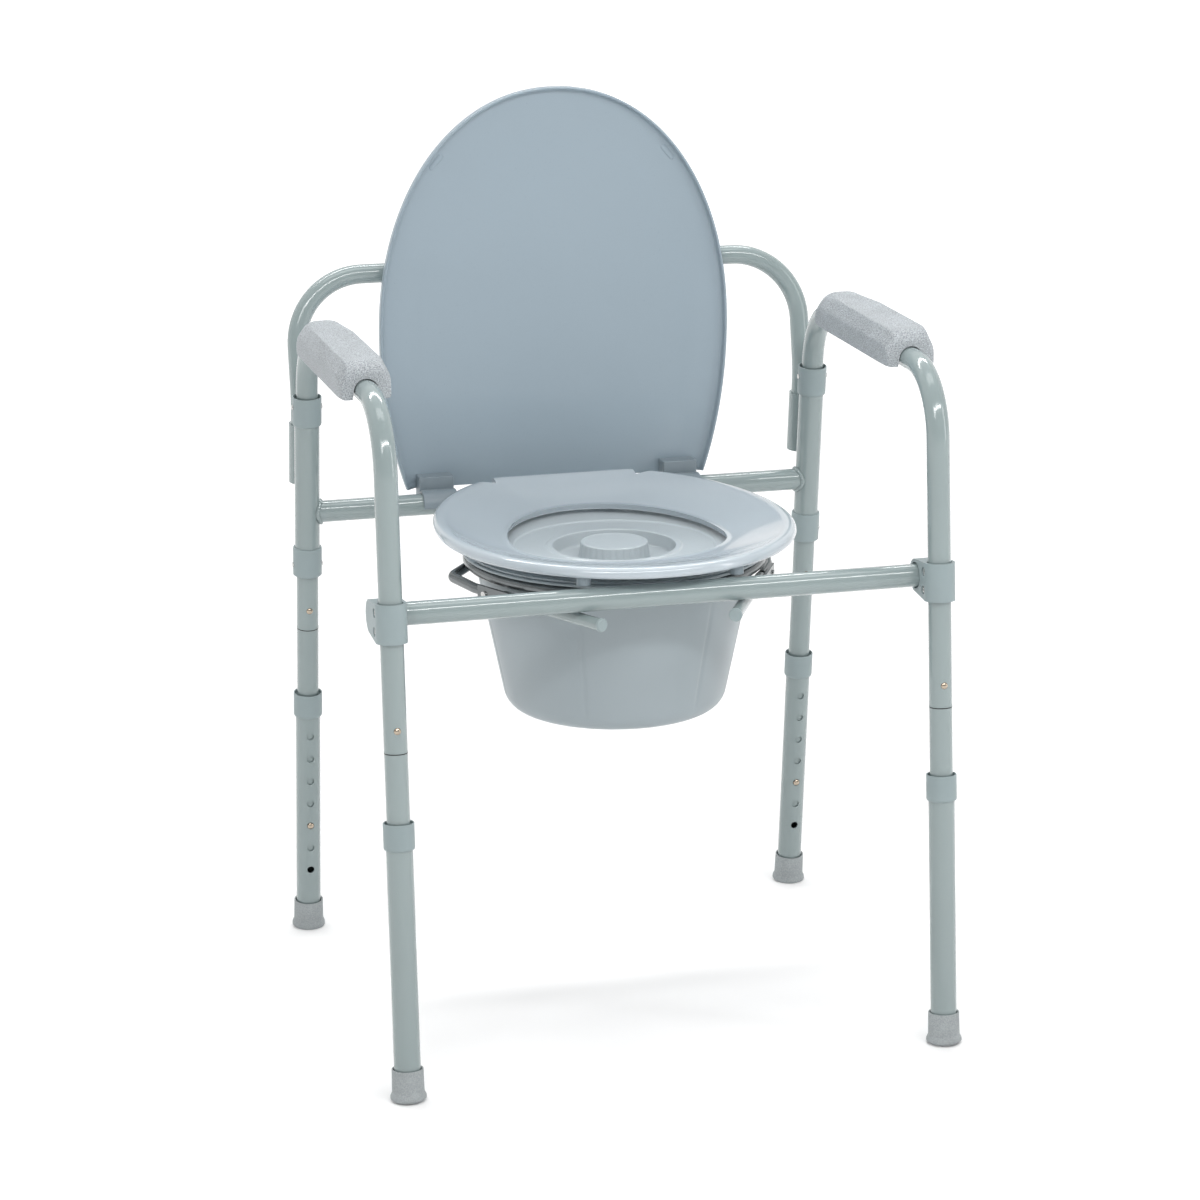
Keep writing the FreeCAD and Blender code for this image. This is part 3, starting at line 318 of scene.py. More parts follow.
def turned_rings(profile, origin, axis, segments):
    """Rings of a turned piece: profile is (radius, height) points in metres along axis from origin."""
    turn = UP.rotation_difference(axis)
    rings = []
    for radius, height in profile:
        ring = []
        for index in range(segments):
            angle = 2 * math.pi * index / segments
            local = Vector((radius * math.cos(angle), radius * math.sin(angle), height))
            ring.append(origin + turn @ local)
        rings.append(ring)
    return rings


def lathe(name, profile, origin, axis, segments=64):
    """Turned piece with a closed profile."""
    return skin(name, turned_rings(profile, origin, axis, segments), True)


def bevel_edges(obj, width, segments, angle):
    """Rounds the edges that turn by more than the angle."""
    edges = obj.modifiers.new("edges", "BEVEL")
    edges.width = width
    edges.segments = segments
    edges.limit_method = "ANGLE"
    edges.angle_limit = math.radians(angle)


def soften(obj, width, segments=3):
    """Welds a CAD-derived mesh and rounds its sharp edges, as moulding leaves them."""
    weld = obj.modifiers.new("weld", "WELD")
    weld.merge_threshold = 0.00001
    bevel_edges(obj, width, segments, 35)


# ---- Measures from the frame -------------------------------------------------

def leg_axis(leg):
    """Foot point and upward direction of a leg, from its sole and its height joint."""
    foot = next(Vector(mount["pos_m"]) for mount in RECORD["mounts"] if mount["name"] == leg + "_sole")
    up = -Vector(JOINTS[leg + "_height"]["axis"]).normalized()
    return foot, up


def span(node, foot, up):
    """Lowest and highest station along an axis, and smallest and largest radius, of a CAD node."""
    stations = []
    reaches = []
    for vertex in NODES[node].data.vertices:
        offset = vertex.co - foot
        station = offset.dot(up)
        stations.append(station)
        reaches.append((offset - up * station).length)
    return min(stations), max(stations), min(reaches), max(reaches)


# ---- Leg fittings ------------------------------------------------------------

def ring_fitting(node, foot, up, gap_at_top, mouth):
    """Cup round a tube: thick body, rounded edges and an open mouth that leaves a dark gap at one end."""
    low, high, inner, outer = span(node, foot, up)
    if not gap_at_top:
        low, high = -high, -low
        up = -up
    lip = outer - 0.0012
    profile = rounded([
        (inner, low), (outer - 0.0004, low), (outer, low + 0.002), (outer, high), (lip, high),
        (lip, high - mouth), (inner, high - mouth), (inner, low + 0.0002),
    ], [0.0012, 0.0006, 0.0006, 0.0004, 0, 0], 4)
    place_piece(lathe(node + "_moulding", profile, foot, up), node)


def make_collars():
    for leg in LEGS:
        foot, up = leg_axis(leg)
        ring_fitting(leg + "_collar", foot, up, True, 0.004)


def make_bushings():
    for side in SIDES:
        foot, up = leg_axis(side + "_rear")
        for level, at_top in (("_upper", True), ("_lower", False)):
            ring_fitting(side + level + "_bushing", foot, up, at_top, 0.005)


def make_feet():
    """Rubber ferrules: straight wall, open mouth with a dark gap, and a rolled flange at the floor."""
    for leg in LEGS:
        node = leg + "_foot"
        foot, up = leg_axis(leg)
        top = span(node, foot, up)[1]
        tube_r = span(leg + "_extension", foot, up)[3]
        wall = tube_r + 0.0023
        flange = tube_r + 0.0046
        gap_r = tube_r + 0.0007
        profile = rounded([
            (0.0, 0.0015), (flange - 0.003, 0.0), (flange, 0.0025), (flange - 0.0002, 0.005),
            (wall + 0.0004, 0.0085), (wall, top), (wall - 0.0010, top), (gap_r, top - 0.0006),
            (gap_r, top - 0.006), (tube_r, top - 0.006),
        ], [0.001, 0.0015, 0.0015, 0.004, 0.0006, 0.0006, 0.0004, 0], 5)
        rings = turned_rings(profile, foot, up, 72)
        for (_, height), ring in zip(profile, rings):
            if height < 0.01:  # the leg leans, so the sole is cut off level with the floor
                for point in ring:
                    point.z = max(point.z, 0.0)
        place_piece(skin(node + "_moulding", rings, False, 50), node)


# ---- Pads --------------------------------------------------------------------

PAD_STATIONS = 64  # rings along a pad
PAD_AROUND = 160  # points round each ring
PAD_NOSE = 0.024  # length over which each end rounds off
PAD_REAR = 0.085  # how far from the rear end the rounder rear section begins
PAD_REAR_EASE = 0.075  # length over which it takes over
TROUGH_DEPTH = 0.0030


def evenly_spaced(outline, count):
    """Evenly spaced points along a closed 2-D outline."""
    loop = outline + outline[:1]
    lengths = [0.0]
    for first, second in zip(loop, loop[1:]):
        lengths.append(lengths[-1] + (Vector(second) - Vector(first)).length)
    points = []
    for index in range(count):
        target = lengths[-1] * index / count
        segment = max(k for k in range(len(lengths) - 1) if lengths[k] <= target)
        run = lengths[segment + 1] - lengths[segment]
        part = (target - lengths[segment]) / run if run else 0.0
        points.append(Vector(loop[segment]).lerp(Vector(loop[segment + 1]), part))
    return points


def pad_ring(y, low, high, tube_r, tube_z):
    """Section of a pad at y: flat-sided foam with bevelled shoulders and a round notch for the tube."""
    from_end = min(y - low.y, high.y - y)
    nose = min(1.0, from_end / PAD_NOSE)
    bevel = 1 - math.sqrt(max(0.0, 1 - (1 - nose) ** 2))
    rear = max(0.0, min(1.0, (y - high.y + PAD_REAR) / PAD_REAR_EASE))
    rear = rear * rear * (3 - 2 * rear)
    shoulder = 0.70 - 0.16 * rear
    top = high.z - 0.0005 - 0.0125 * bevel
    width = (high.x - low.x) / 2 - 0.0005 - 0.0030 * bevel
    trough = TROUGH_DEPTH * (1 - rear) * min(1.0, max(0.0, (from_end - 0.012) / 0.02))
    base = low.z + 0.0006
    half_notch = 0.0132
    outline = [
        (-half_notch, base), (-width, base), (-width, top - 0.0155), (-width * shoulder, top),
        (width * shoulder, top), (width, top - 0.0155), (width, base), (half_notch, base),
    ]
    side_r = 0.006 + 0.016 * rear
    shoulder_r = 0.0045 + 0.014 * rear
    smooth = rounded(outline, [0.003, side_r, shoulder_r, shoulder_r, side_r, 0.003], 8)
    notch_r = tube_r + 0.0009
    for step in range(13):
        angle = math.pi * step / 12
        smooth.append((notch_r * math.cos(angle), tube_z + notch_r * math.sin(angle)))
    centre_x = (low.x + high.x) / 2
    ring = []
    for point in evenly_spaced(smooth, PAD_AROUND):
        across = abs(point.x) / (width * shoulder)
        if point.y > top - 0.004 and across < 1:
            point.y -= trough * (1 - across ** 2) ** 0.5
        ring.append((centre_x + point.x, y, point.y))
    return ring


def make_pads():
    """Moulded foam armrests: crowned top with a shallow trough, bevelled shoulders, rounded ends."""
    for side in SIDES:
        node = side + "_armrest_pad"
        low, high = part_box(node)
        length = high.y - low.y
        tube_low, tube_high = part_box(side + "_side_tube")
        tube_r = (tube_high.x - tube_low.x) / 2
        rings = []
        for station in range(PAD_STATIONS + 1):
            share = station / PAD_STATIONS
            y = low.y + length * (0.5 - 0.5 * math.cos(math.pi * share))
            rings.append(pad_ring(y, low, high, tube_r, tube_high.z - tube_r))
        piece = skin(node + "_moulding", rings, False, 60, True)
        place_piece(piece, node)


# ---- Seat and lid ------------------------------------------------------------

OUTLINE_POINTS = 192  # points round the seat and the lid


def oval(half_w, front, rear, mid_y, count):
    """Points of an egg-shaped loop with the given reaches in front of and behind its widest line."""
    points = []
    for index in range(count):
        angle = 2 * math.pi * index / count
        reach = rear if math.sin(angle) > 0 else front
        points.append(Vector((half_w * math.cos(angle), mid_y + reach * math.sin(angle), 0)))
    return points


def box_cutter(name, low, high, round_by):
    """Block with rounded edges, to be cut out of a piece."""
    centre = (Vector(low) + Vector(high)) / 2
    size = Vector(high) - Vector(low)
    corners = [Vector((x, y, z)) for x in (-0.5, 0.5) for y in (-0.5, 0.5) for z in (-0.5, 0.5)]
    points = [centre + Vector((c.x * size.x, c.y * size.y, c.z * size.z)) for c in corners]
    faces = [(0, 1, 3, 2), (4, 6, 7, 5), (0, 4, 5, 1), (2, 3, 7, 6), (0, 2, 6, 4), (1, 5, 7, 3)]
    cutter = mesh_object(name, points, faces, 0)
    edges = cutter.modifiers.new("edges", "BEVEL")
    edges.width = round_by
    edges.segments = 4
    return cutter


def cut(obj, cutters):
    """Takes the cutters out of obj for good."""
    for cutter in cutters:
        gap = obj.modifiers.new("cut", "BOOLEAN")
        gap.operation = "DIFFERENCE"
        gap.solver = "EXACT"
        gap.object = cutter
    graph = bpy.context.evaluated_depsgraph_get()
    mesh = bpy.data.meshes.new_from_object(obj.evaluated_get(graph))
    obj.modifiers.clear()
    obj.data = mesh
    for cutter in cutters:
        bpy.data.objects.remove(cutter)


def make_seat():
    """Dished seat: rolled outer rim, bowl falling to a rounded lip round the opening, notched rear tab."""
    low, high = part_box("seat")
    half_w = (high.x - low.x) / 2
    mid_y = -0.016
    front = mid_y - low.y
    rear = 0.232
    rear_edge = high.y
    top = high.z
    open_low = low.z
    opening_y = -0.030
    inner = oval(0.107, 0.086, 0.146, opening_y, OUTLINE_POINTS)
    # each row: share of the way from the opening (0) to the rim (1), outset from that line, height
    rows = []
    lip_z = open_low + 0.0053
    for step in range(7):
        angle = math.pi / 2 * step / 6
        height = open_low + 0.0008 + (lip_z - open_low) * math.sin(angle)
        rows.append((0.0, -0.0022 * (1 - math.sin(angle)), height))
    bowl = 22
    for step in range(1, bowl + 1):
        share = step / bowl
        height = lip_z + (top - 0.0006 - lip_z) * (0.62 * share + 0.38 * share ** 2.2)
        rows.append((share, -0.0115 * share, height))
    crown = [(-0.0085, 0.0), (-0.0055, -0.0001), (-0.0030, -0.0009), (-0.0012, -0.0026), (-0.0003, -0.0048),
             (0.0, -0.0070), (-0.0006, -0.0088), (-0.0022, -0.0103), (-0.0050, -0.0109), (-0.0085, -0.0109)]
    for outset, drop in crown:
        rows.append((1.0, outset, top + drop))
    rows.append((1.0, -0.0130, top - 0.0112))
    rows.append((0.10, 0.0, open_low + 0.0012))
    rows.append((0.02, 0.0, open_low + 0.0004))
    rings = []
    for share, outset, height in rows:
        reach = outset if share > 0 else 0
        outer = oval(half_w + reach, front + reach, rear + reach, mid_y, OUTLINE_POINTS)
        ring = []
        for near, far in zip(inner, outer):
            far.y = min(far.y, rear_edge + reach)
            point = near.lerp(far, share)
            if share == 0:
                direction = (near - Vector((0, opening_y, 0))).normalized()
                point = point - direction * outset
            ring.append(Vector((point.x, point.y, height)))
        rings.append(ring)
    piece = skin("seat_moulding", rings, True, 0)
    beyond = 0.05
    behind = rear_edge + 0.1
    tab_half_w = 0.073
    cutters = [box_cutter("cut_under", (-tab_half_w, 0.170, open_low - beyond),
                          (tab_half_w, behind, CLIP_SLOT_TOP), 0.0001)]
    for sign in SIDES.values():
        left, right = sorted((sign * 0.074, sign * 0.130))
        cutters.append(box_cutter("cut_notch", (left, 0.174, open_low - beyond),
                                  (right, behind, top + beyond), 0.002))
    cut(piece, cutters)
    piece.data.shade_smooth()
    piece.data.set_sharp_from_angle(angle=math.radians(38))
    bevel_edges(piece, 0.0007, 2, 50)
    place_piece(piece, "seat")


LID_SQUARENESS = 2.1  # power of the upper half's outline; 2 would be an ellipse
LID_SPREAD_INSET = 0.012  # insets beyond this leave the lower edge where it is
LID_SHRINK_RINGS = 14


def lid_half_width(height, inset, up, down, half_w):
    """Half width of the lid's outline at a height above its widest line."""
    if height >= 0:
        ratio = min(1.0, height / (up - inset))
        return (half_w - inset) * max(0.0, 1 - ratio ** LID_SQUARENESS) ** (1 / LID_SQUARENESS)
    ratio = min(1.0, -height / (down - inset))
    return (half_w - inset) * math.sqrt(1 - ratio ** 2)


def lid_ring(inset, y, size, count):
    """Loop of the lid's outline at an inset, flat along its lower edge."""
    half_w, mid_z, up, down, cut_z = size
    drop = cut_z + min(inset, LID_SPREAD_INSET) * 0.35 - mid_z
    side = []
    upper = count // 4
    lower = count // 8
    for index in range(lower):
        height = drop * (1 - index / lower)
        side.append((lid_half_width(height, inset, up, down, half_w), mid_z + height))
    for index in range(upper + 1):
        angle = math.pi / 2 * index / upper
        height = (up - inset) * math.sin(angle)
        side.append((lid_half_width(height, inset, up, down, half_w), mid_z + height))
    loop = side + [(-x, z) for x, z in reversed(side[:-1])]
    base = count // 6
    start = loop[-1]
    end = loop[0]
    for index in range(1, base):
        share = index / base
        loop.append((start[0] + (end[0] - start[0]) * share, start[1]))
    return [Vector((x, y, z)) for x, z in loop]


def shrunk_rings(outline, y, mid_z):
    """Smaller and smaller rings that fill a flat face at y."""
    rings = []
    for step in range(1, LID_SHRINK_RINGS + 1):
        ring = [point.lerp(Vector((0, y, mid_z)), step / (LID_SHRINK_RINGS + 1)) for point in outline]
        for point in ring:
            point.y = y
        rings.append(ring)
    return rings


def make_lid():
    """Shallow tray: thin wall with none along the lower edge, gently sloping flange, crease, flat panel."""
    low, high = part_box("lid")
    half_w = (high.x - low.x) / 2
    mid_z = 0.634
    up = high.z - mid_z
    down = 0.315
    size = (half_w, mid_z, up, down, low.z)
    front_y = low.y
    back_y = high.y
    panel_y = back_y - 0.0032
    crease = 0.030
    profile = [
        (0.0000, back_y - 0.0040), (0.0000, front_y + 0.0016), (0.0004, front_y + 0.0005), (0.0013, front_y),
        (0.0022, front_y + 0.0003), (0.0027, front_y + 0.0010), (0.0030, front_y + 0.0040),
        (0.0034, panel_y - 0.0030), (0.0044, panel_y - 0.0018), (0.0065, panel_y - 0.0014),
        (crease, panel_y - 0.0002), (crease + 0.0015, panel_y),
    ]
    rings = [lid_ring(inset, y, size, OUTLINE_POINTS) for inset, y in profile]
    mouth = lid_half_width(low.z - mid_z, 0.0, up, down, half_w) - 0.005
    for point in (point for ring in rings for point in ring):
        if point.z < low.z + 0.0046 and abs(point.x) < mouth:
            point.y = max(point.y, panel_y)
    rings += shrunk_rings(rings[-1], panel_y, mid_z - 0.02)
    back = []
    for inset, y in ((0.0012, back_y - 0.0014), (0.0040, back_y - 0.0003), (0.0080, back_y)):
        back.append(lid_ring(inset, y, size, OUTLINE_POINTS))
    back += shrunk_rings(back[-1], back_y, mid_z - 0.02)
    rings = list(reversed(back)) + rings
    piece = skin("lid_moulding", rings, False, 45, True)
    # the lid takes the darker copy of the seat's plastic, painted shade
    place_piece(piece, "lid", MATERIALS["lid_plastic"])


# ---- Pail and cover ----------------------------------------------------------

FLANGE_WIDTH = 0.0105
PAIL_BASE_R = 0.1069
PAIL_WALL = 0.0025
PAIL_ROW = 0.008  # longest step between two rings
PAIL_SEGMENTS = 360
GROOVE_DEPTH = 0.0011
GROOVE_HALF_WIDTH = 0.0017
COVER_SEGMENTS = 480
FLUTES = 30
FLUTE_DEPTH = 0.0009


def make_pail():
    """Tapered pail with a rounded bottom corner, six fine upright grooves and a flange."""
    low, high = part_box("pail")
    centre = Vector(((low.x + high.x) / 2, (low.y + high.y) / 2, 0))
    flange_r = (high.x - low.x) / 2
    bottom = low.z
    rim = high.z
    rim_r = flange_r - FLANGE_WIDTH
    base_r = PAIL_BASE_R
    wall = PAIL_WALL
    outline = rounded([
        (0.0, bottom + 0.002), (base_r - 0.040, bottom + 0.002), (base_r - 0.034, bottom), (base_r, bottom),
        (rim_r, rim - 0.003), (flange_r, rim - 0.003), (flange_r, rim),
        (rim_r - wall, rim), (base_r - wall, bottom + wall), (0.0, bottom + wall),
    ], [0.002, 0.002, 0.022, 0.0012, 0.0013, 0.0013, 0.002, 0.020], 10)
    dense = []
    for first, second in zip(outline, outline[1:]):
        gap = (Vector(second) - Vector(first)).length
        parts = max(1, int(gap / PAIL_ROW))
        for part in range(parts):
            dense.append(tuple(Vector(first).lerp(Vector(second), part / parts)))
    dense.append(outline[-1])
    groove_angles = [math.radians(30 + 60 * index) for index in range(6)]
    turning = len(dense) // 2
    rings = []
    for row, (radius, height) in enumerate(dense):
        ring = []
        outside = row < turning and radius > base_r * 0.9 and height < rim - 0.006
        fade = max(0.0, min(1.0, (height - bottom - 0.012) / 0.02)) if outside else 0.0
        for index in range(PAIL_SEGMENTS):
            angle = 2 * math.pi * index / PAIL_SEGMENTS
            depth = 0.0
            for groove in groove_angles:
                turn = angle + math.pi / 2 - groove
                away = math.atan2(math.sin(turn), math.cos(turn))
                depth += math.exp(-(away * radius / GROOVE_HALF_WIDTH) ** 2)
            reach = radius - GROOVE_DEPTH * depth * fade
            ring.append(centre + Vector((reach * math.cos(angle), reach * math.sin(angle), height)))
        rings.append(ring)
    piece = skin("pail_moulding", rings, False, 50)
    place_piece(piece, "pail")


def make_cover():
    """Pail cover: thin edge, shallow step ring, round recess and a fluted knob."""
    low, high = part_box("pail_cover")
    centre = Vector(((low.x + high.x) / 2, (low.y + high.y) / 2, 0))
    outer_r = (high.x - low.x) / 2
    floor = low.z + 0.002
    top = floor + 0.014
    knob_top = high.z
    profile = rounded([
        (0.0, knob_top - 0.0006), (0.029, knob_top - 0.0006), (0.0305, knob_top), (0.033, knob_top),
        (0.0355, floor + 0.001), (0.0375, floor), (0.059, floor), (0.0605, top), (0.066, top),
        (0.068, top - 0.0012), (0.098, top - 0.0012), (0.100, top), (outer_r - 0.010, top), (outer_r, top),
        (outer_r, top - 0.002), (outer_r - 0.012, top - 0.002),
    ], [0.0008, 0.0008, 0.0020, 0.0012, 0.0012, 0.0030, 0.0016, 0.0010,
        0.0008, 0.0008, 0.0008, 0.0008, 0.0008, 0.0006], 5)
    rings = []
    for radius, height in profile:
        ring = []
        wall = 0.031 < radius < 0.0368 and height < knob_top - 0.0004
        depth = min(1.0, max(0.0, (knob_top - 0.0012 - height) / 0.003)) if wall else 0.0
        for index in range(COVER_SEGMENTS):
            angle = 2 * math.pi * index / COVER_SEGMENTS
            flute = FLUTE_DEPTH * depth * (0.5 - 0.5 * math.cos(FLUTES * angle)) ** 2
            reach = radius - flute
            ring.append(centre + Vector((reach * math.cos(angle), reach * math.sin(angle), height)))
        rings.append(ring)
    piece = skin("pail_cover_moulding", rings, False, 50)
    place_piece(piece, "pail_cover")


# ---- Small parts -------------------------------------------------------------

BUMPER_WIDTH = 0.0068
BUMPER_LENGTH = 0.0205
BUMPER_TILT = 50  # degrees
BUMPER_DOME = ((-0.0006, 0.0), (0.0, -0.0010), (0.0003, -0.0018), (0.0010, -0.0024), (0.0022, -0.0026))


def make_lid_bumpers():
    """Oblong buffers with domed faces near the lid's rim."""
    low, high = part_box("lid_bumpers")
    base_y = low.y + 0.0023
    mid_z = (low.z + high.z) / 2
    mid_x = high.x - (high.z - low.z) / 2 * 0.84
    for side, sign in SIDES.items():
        turn = Matrix.Rotation(math.radians(BUMPER_TILT * sign), 4, "Y")
        rings = []
        for inset, depth in BUMPER_DOME:
            ring = []
            for index in range(48):
                angle = 2 * math.pi * index / 48
                end = (BUMPER_LENGTH - BUMPER_WIDTH) / 2 * (1 if math.cos(angle) > 0 else -1)
                reach = BUMPER_WIDTH / 2 - inset
                local = Vector((end + reach * math.cos(angle), depth, reach * math.sin(angle)))
                ring.append(Vector((sign * mid_x, base_y, mid_z)) + turn @ local)
            rings.append(ring)
        piece = skin("lid_bumper_" + side, rings, False, 60, True)
        # the bumpers take the lid's darker copy of the seat's plastic, painted shade
        paint(piece, MATERIALS["lid_plastic"])
        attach(piece, "lid")
    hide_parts("lid_bumpers")


WELD_STEPS = 120
WELD_THICKNESS = 0.0022
SLEEVE_WIDTH = 0.0254  # diameter of the rear sleeves, which the bead wraps


def weld_bead(name, centre, axis):
    """Rippled fillet round the rear crossbar where it meets a sleeve."""
    turn = UP.rotation_difference(axis)
    rings = []
    for index in range(WELD_STEPS):
        angle = 2 * math.pi * index / WELD_STEPS
        ripple = 1 + 0.10 * math.sin(26 * angle) + 0.05 * math.sin(11 * angle + 1)
        thickness = WELD_THICKNESS * ripple
        drop = TUBE_R ** 2 * math.sin(angle) ** 2 / SLEEVE_WIDTH
        ring = []
        for part in range(10):
            around = 2 * math.pi * part / 10
            reach = TUBE_R + thickness * math.cos(around)
            rise = thickness * math.sin(around) - drop
            ring.append(centre + turn @ Vector((reach * math.cos(angle), reach * math.sin(angle), rise)))
        rings.append(ring)
    piece = skin(name, rings, True, 0)
    paint(piece, MATERIALS["frame_paint"])
    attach(piece, BODY_OF["rear_crossbar"])


def make_welds():
    low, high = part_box("rear_crossbar")
    axis_y = (low.y + high.y) / 2
    axis_z = (low.z + high.z) / 2
    for side, sign in SIDES.items():
        sleeve_low, sleeve_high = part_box(side + "_rear_sleeve")
        face_x = sleeve_high.x if sign < 0 else sleeve_low.x
        centre = Vector((face_x - sign * 0.0010, axis_y, axis_z))
        weld_bead(side + "_crossbar_weld", centre, Vector((-sign, 0, 0)))


def make_seams():
    """Rolled tube ends, and a near-black line of painted shade for the gap between the upper and lower leg, just
    below each joint button.
    """
    for leg in LEGS:
        foot, up = leg_axis(leg)
        low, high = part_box(leg + "_joint_button")
        station = ((low + high) / 2 - foot).dot(up) - SEAM_BELOW_BUTTON
        side = leg.split("_")[0]
        for part, height, reach, half, material in (
                # the line is painted shade, near-black, for the gap at the end of the upper tube
                ("line", 0.0, 0.00012, 0.0005, PAINTED_GAP_SHADE),
                ("lip", 0.0011, 0.00022, 0.0006, MATERIALS["frame_paint"])):
            root = TUBE_R - 0.0005
            edge = TUBE_R + reach * 0.6
            middle = station + height
            profile = [(root, middle - half), (edge, middle - half), (TUBE_R + reach, middle),
                       (edge, middle + half), (root, middle + half)]
            piece = lathe("{}_seam_{}".format(leg, part), profile, foot, up)
            paint(piece, material)
            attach(piece, side + "_side")


SCREW_HEAD_R = 0.0034
SCREW_HEAD = ((SCREW_HEAD_R, 0.0), (SCREW_HEAD_R, 0.0006), (0.0029, 0.0011), (0.0020, 0.0014), (0.0010, 0.0012))
CROSS_R = 0.0025  # the cross recess stays inside this radius
CROSS_DEPTH = 0.0008


def make_bracket_screws():
    """Round heads with a cross recess at the bottom of the brackets' screw holes."""
    low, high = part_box("bracket_screws")
    bracket_low, bracket_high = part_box("left_leg_bracket")
    y = (low.y + high.y) / 2
    mid_z = (low.z + high.z) / 2
    apart = (high.z - low.z) / 2 - SCREW_HEAD_R
    half_w = (bracket_high.x - bracket_low.x) / 2
    leg_x = (bracket_high.x + bracket_low.x) / 2
    for side, sign in SIDES.items():
        for face in (-1, 1):
            for level in (-1, 1):
                outer = -sign * leg_x + face * half_w
                seat = Vector((outer - face * 0.0020, y, mid_z + level * apart))
                rings = []
                for radius, rise in SCREW_HEAD:
                    ring = []
                    for index in range(48):
                        angle = 2 * math.pi * index / 48
                        recess = CROSS_DEPTH * max(0.0, math.cos(4 * angle)) ** 3 if radius < CROSS_R else 0.0
                        offset = (face * (rise - recess), radius * math.cos(angle), radius * math.sin(angle))
                        ring.append(seat + Vector(offset))
                    rings.append(ring)
                facing = "out" if face == sign else "in"
                step = "low" if level < 0 else "high"
                name = "{}_bracket_screw_{}_{}".format(side, facing, step)
                piece = skin(name, rings, False, 50, True)
                paint(piece, MATERIALS["fastener_steel"])
                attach(piece, "front_bar")
    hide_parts("bracket_screws")


def finish_cad_nodes():
    """Materials for all CAD nodes, and softened edges on the moulded ones that stay."""
    for node, obj in NODES.items():
        paint(obj, MATERIALS[SLOT_OF[node]])
    for side in SIDES:
        soften(NODES[side + "_leg_bracket"], 0.0016, 4)
    for node, width in (("lid_clips", 0.0014), ("seat_clips", 0.0008), ("rod_caps", 0.0006),
                        ("holder_plates", 0.0007), ("holder_rivets", 0.0006), ("bushing_rivets", 0.0005),
                        ("seat_bumpers", 0.0008)):
        soften(NODES[node], width)
    # the seat bumpers take the darker clip colour, painted shade for the dark under the seat
    paint(NODES["seat_bumpers"], MATERIALS["clip_plastic"])


# ---- Stage, light and camera -------------------------------------------------

FLOOR_HALF = 30.0
GLOW_FROM, GLOW_TO = 0.5, 4.0  # distances from the middle between which the floor's glow grows


def grey(level):
    return (level, level, level, 1)


def make_stage():
    """Flat pale floor that brightens to plain white away from the object."""
    half = FLOOR_HALF
    corners = [(-half, -half, 0), (half, -half, 0), (half, half, 0), (-half, half, 0)]
    floor = mesh_object("floor", corners, [(0, 1, 2, 3)], 0)
    material, tree, shader, place = new_material("floor_paper")
    tones = ramp(tree, noise(tree, place, 3.0), [(0.3, grey(0.84)), (0.7, grey(0.87))])
    tree.links.new(tones, shader.inputs["Base Color"])
    shader.inputs["Roughness"].default_value = 0.8
    shader.inputs["Specular IOR Level"].default_value = 0.1
    away = tree.nodes.new("ShaderNodeVectorMath")
    away.operation = "LENGTH"
    tree.links.new(place, away.inputs[0])
    distance = spread(tree, away.outputs["Value"], 0.0, 1.0, GLOW_FROM, GLOW_TO)
    glow = ramp(tree, distance, [(0.05, grey(0.06)), (0.9, grey(0.62))])
    tree.links.new(glow, shader.inputs["Emission Color"])
    shader.inputs["Emission Strength"].default_value = 1.0
    paint(floor, material)


def area_light(name, location, target, size, size_y, power):
    data = bpy.data.lights.new(name, "AREA")
    data.shape = "RECTANGLE"
    data.size = size
    data.size_y = size_y
    data.energy = power
    obj = bpy.data.objects.new(name, data)
    obj.location = location
    obj.rotation_euler = (Vector(target) - Vector(location)).to_track_quat("-Z", "Y").to_euler()
    bpy.context.scene.collection.objects.link(obj)


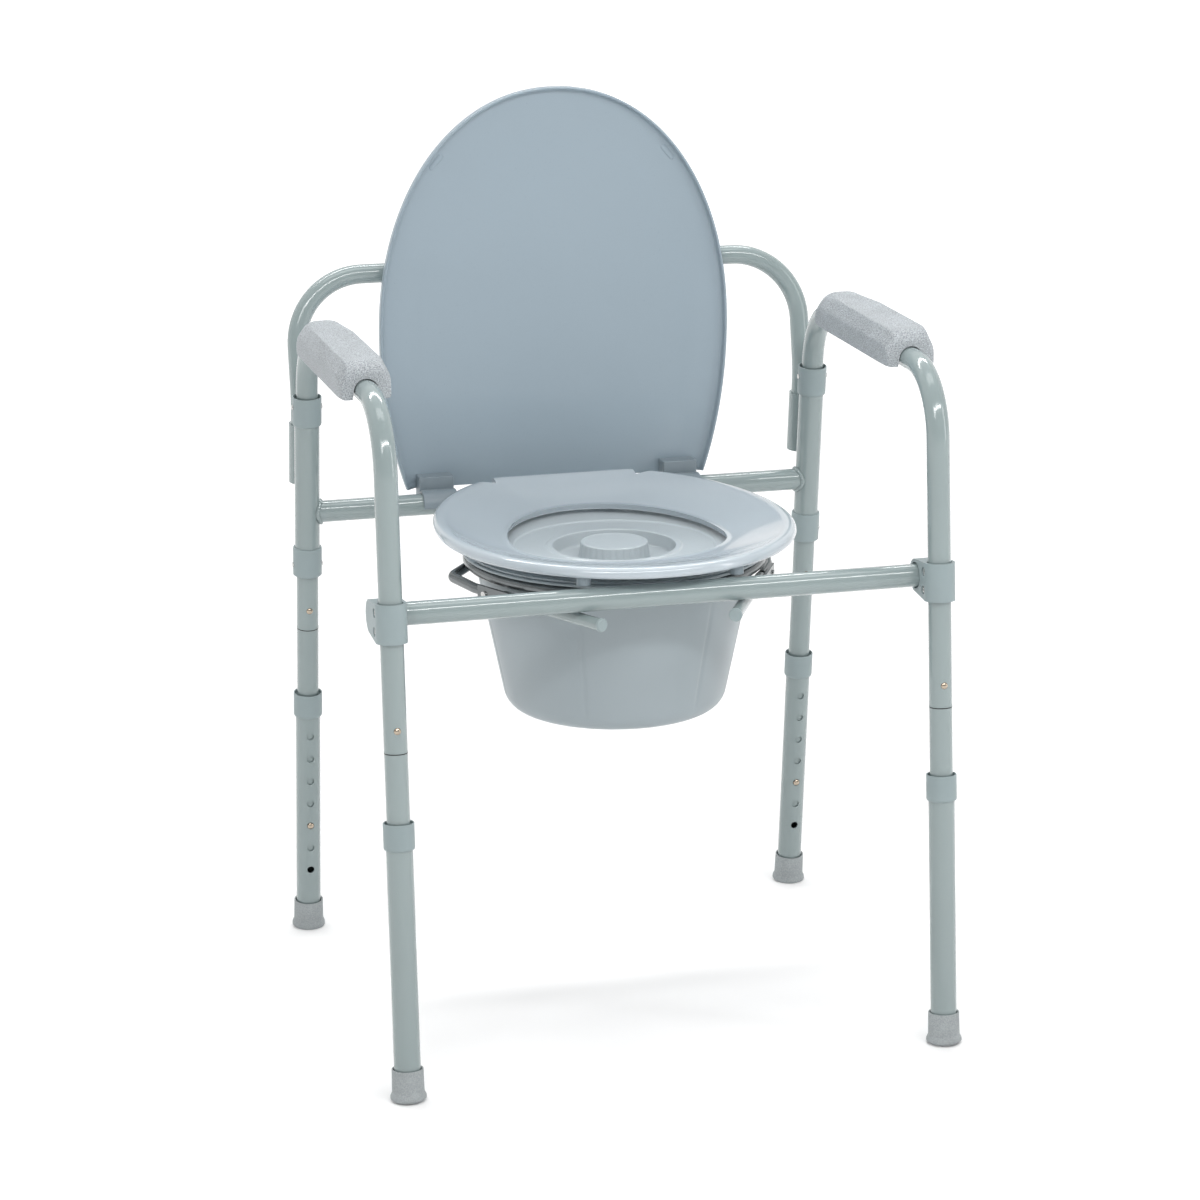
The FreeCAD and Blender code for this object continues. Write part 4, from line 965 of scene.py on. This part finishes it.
def make_lights():
    """Room that is darker in front of the object than behind it, and five soft boxes."""
    world = bpy.data.worlds.new("studio")
    world.use_nodes = True
    background = world.node_tree.nodes["Background"]
    tree = world.node_tree
    direction = tree.nodes.new("ShaderNodeSeparateXYZ")
    tree.links.new(tree.nodes.new("ShaderNodeTexCoord").outputs["Generated"], direction.inputs["Vector"])
    depth = spread(tree, direction.outputs["Y"], 0.0, 1.0, -0.5, 0.4)
    sky = ramp(tree, depth, [(0.0, grey(0.42)), (1.0, grey(0.90))])
    tree.links.new(sky, background.inputs["Color"])
    background.inputs["Strength"].default_value = 1.0
    bpy.context.scene.world = world
    middle = (0, 0, 0.45)
    area_light("top", (0.0, -0.3, 3.2), middle, 2.4, 0.8, 14)
    area_light("key", (-1.7, -2.4, 2.4), middle, 0.9, 0.9, 14)
    area_light("strip_front", (0.2, -1.7, 2.0), middle, 2.6, 0.16, 26)
    area_light("strip_rear", (0.0, 1.1, 2.4), middle, 2.6, 0.16, 26)
    area_light("side", (2.2, -1.4, 1.2), middle, 0.3, 1.6, 9)
    bpy.context.scene.view_settings.view_transform = "Standard"


# The camera, solved from points of the frame in the photo
CAMERA_AT = (-0.9575, -3.5149, 1.3985)
CAMERA_TURN = (-15.06, 15.298, -0.271)  # yaw, pitch and roll in degrees
LENS = 114.35


def make_camera():
    yaw, pitch, roll = (math.radians(angle) for angle in CAMERA_TURN)
    back = Vector((math.sin(yaw) * math.cos(pitch), -math.cos(yaw) * math.cos(pitch), math.sin(pitch)))
    right = (-back).cross(UP).normalized()
    up = right.cross(-back)
    tilted_right = right * math.cos(roll) + up * math.sin(roll)
    tilted_up = up * math.cos(roll) - right * math.sin(roll)
    data = bpy.data.cameras.new("camera")
    data.lens = LENS
    data.sensor_width = 36
    camera = bpy.data.objects.new("camera", data)
    turn = Matrix((tilted_right, tilted_up, back)).transposed().to_4x4()
    camera.matrix_world = Matrix.Translation(CAMERA_AT) @ turn
    bpy.context.scene.collection.objects.link(camera)
    bpy.context.scene.camera = camera


finish_cad_nodes()
make_collars()
make_bushings()
make_feet()
make_pads()
make_seat()
make_lid()
make_pail()
make_cover()
make_lid_bumpers()
make_welds()
make_seams()
make_bracket_screws()
make_stage()
make_lights()
make_camera()
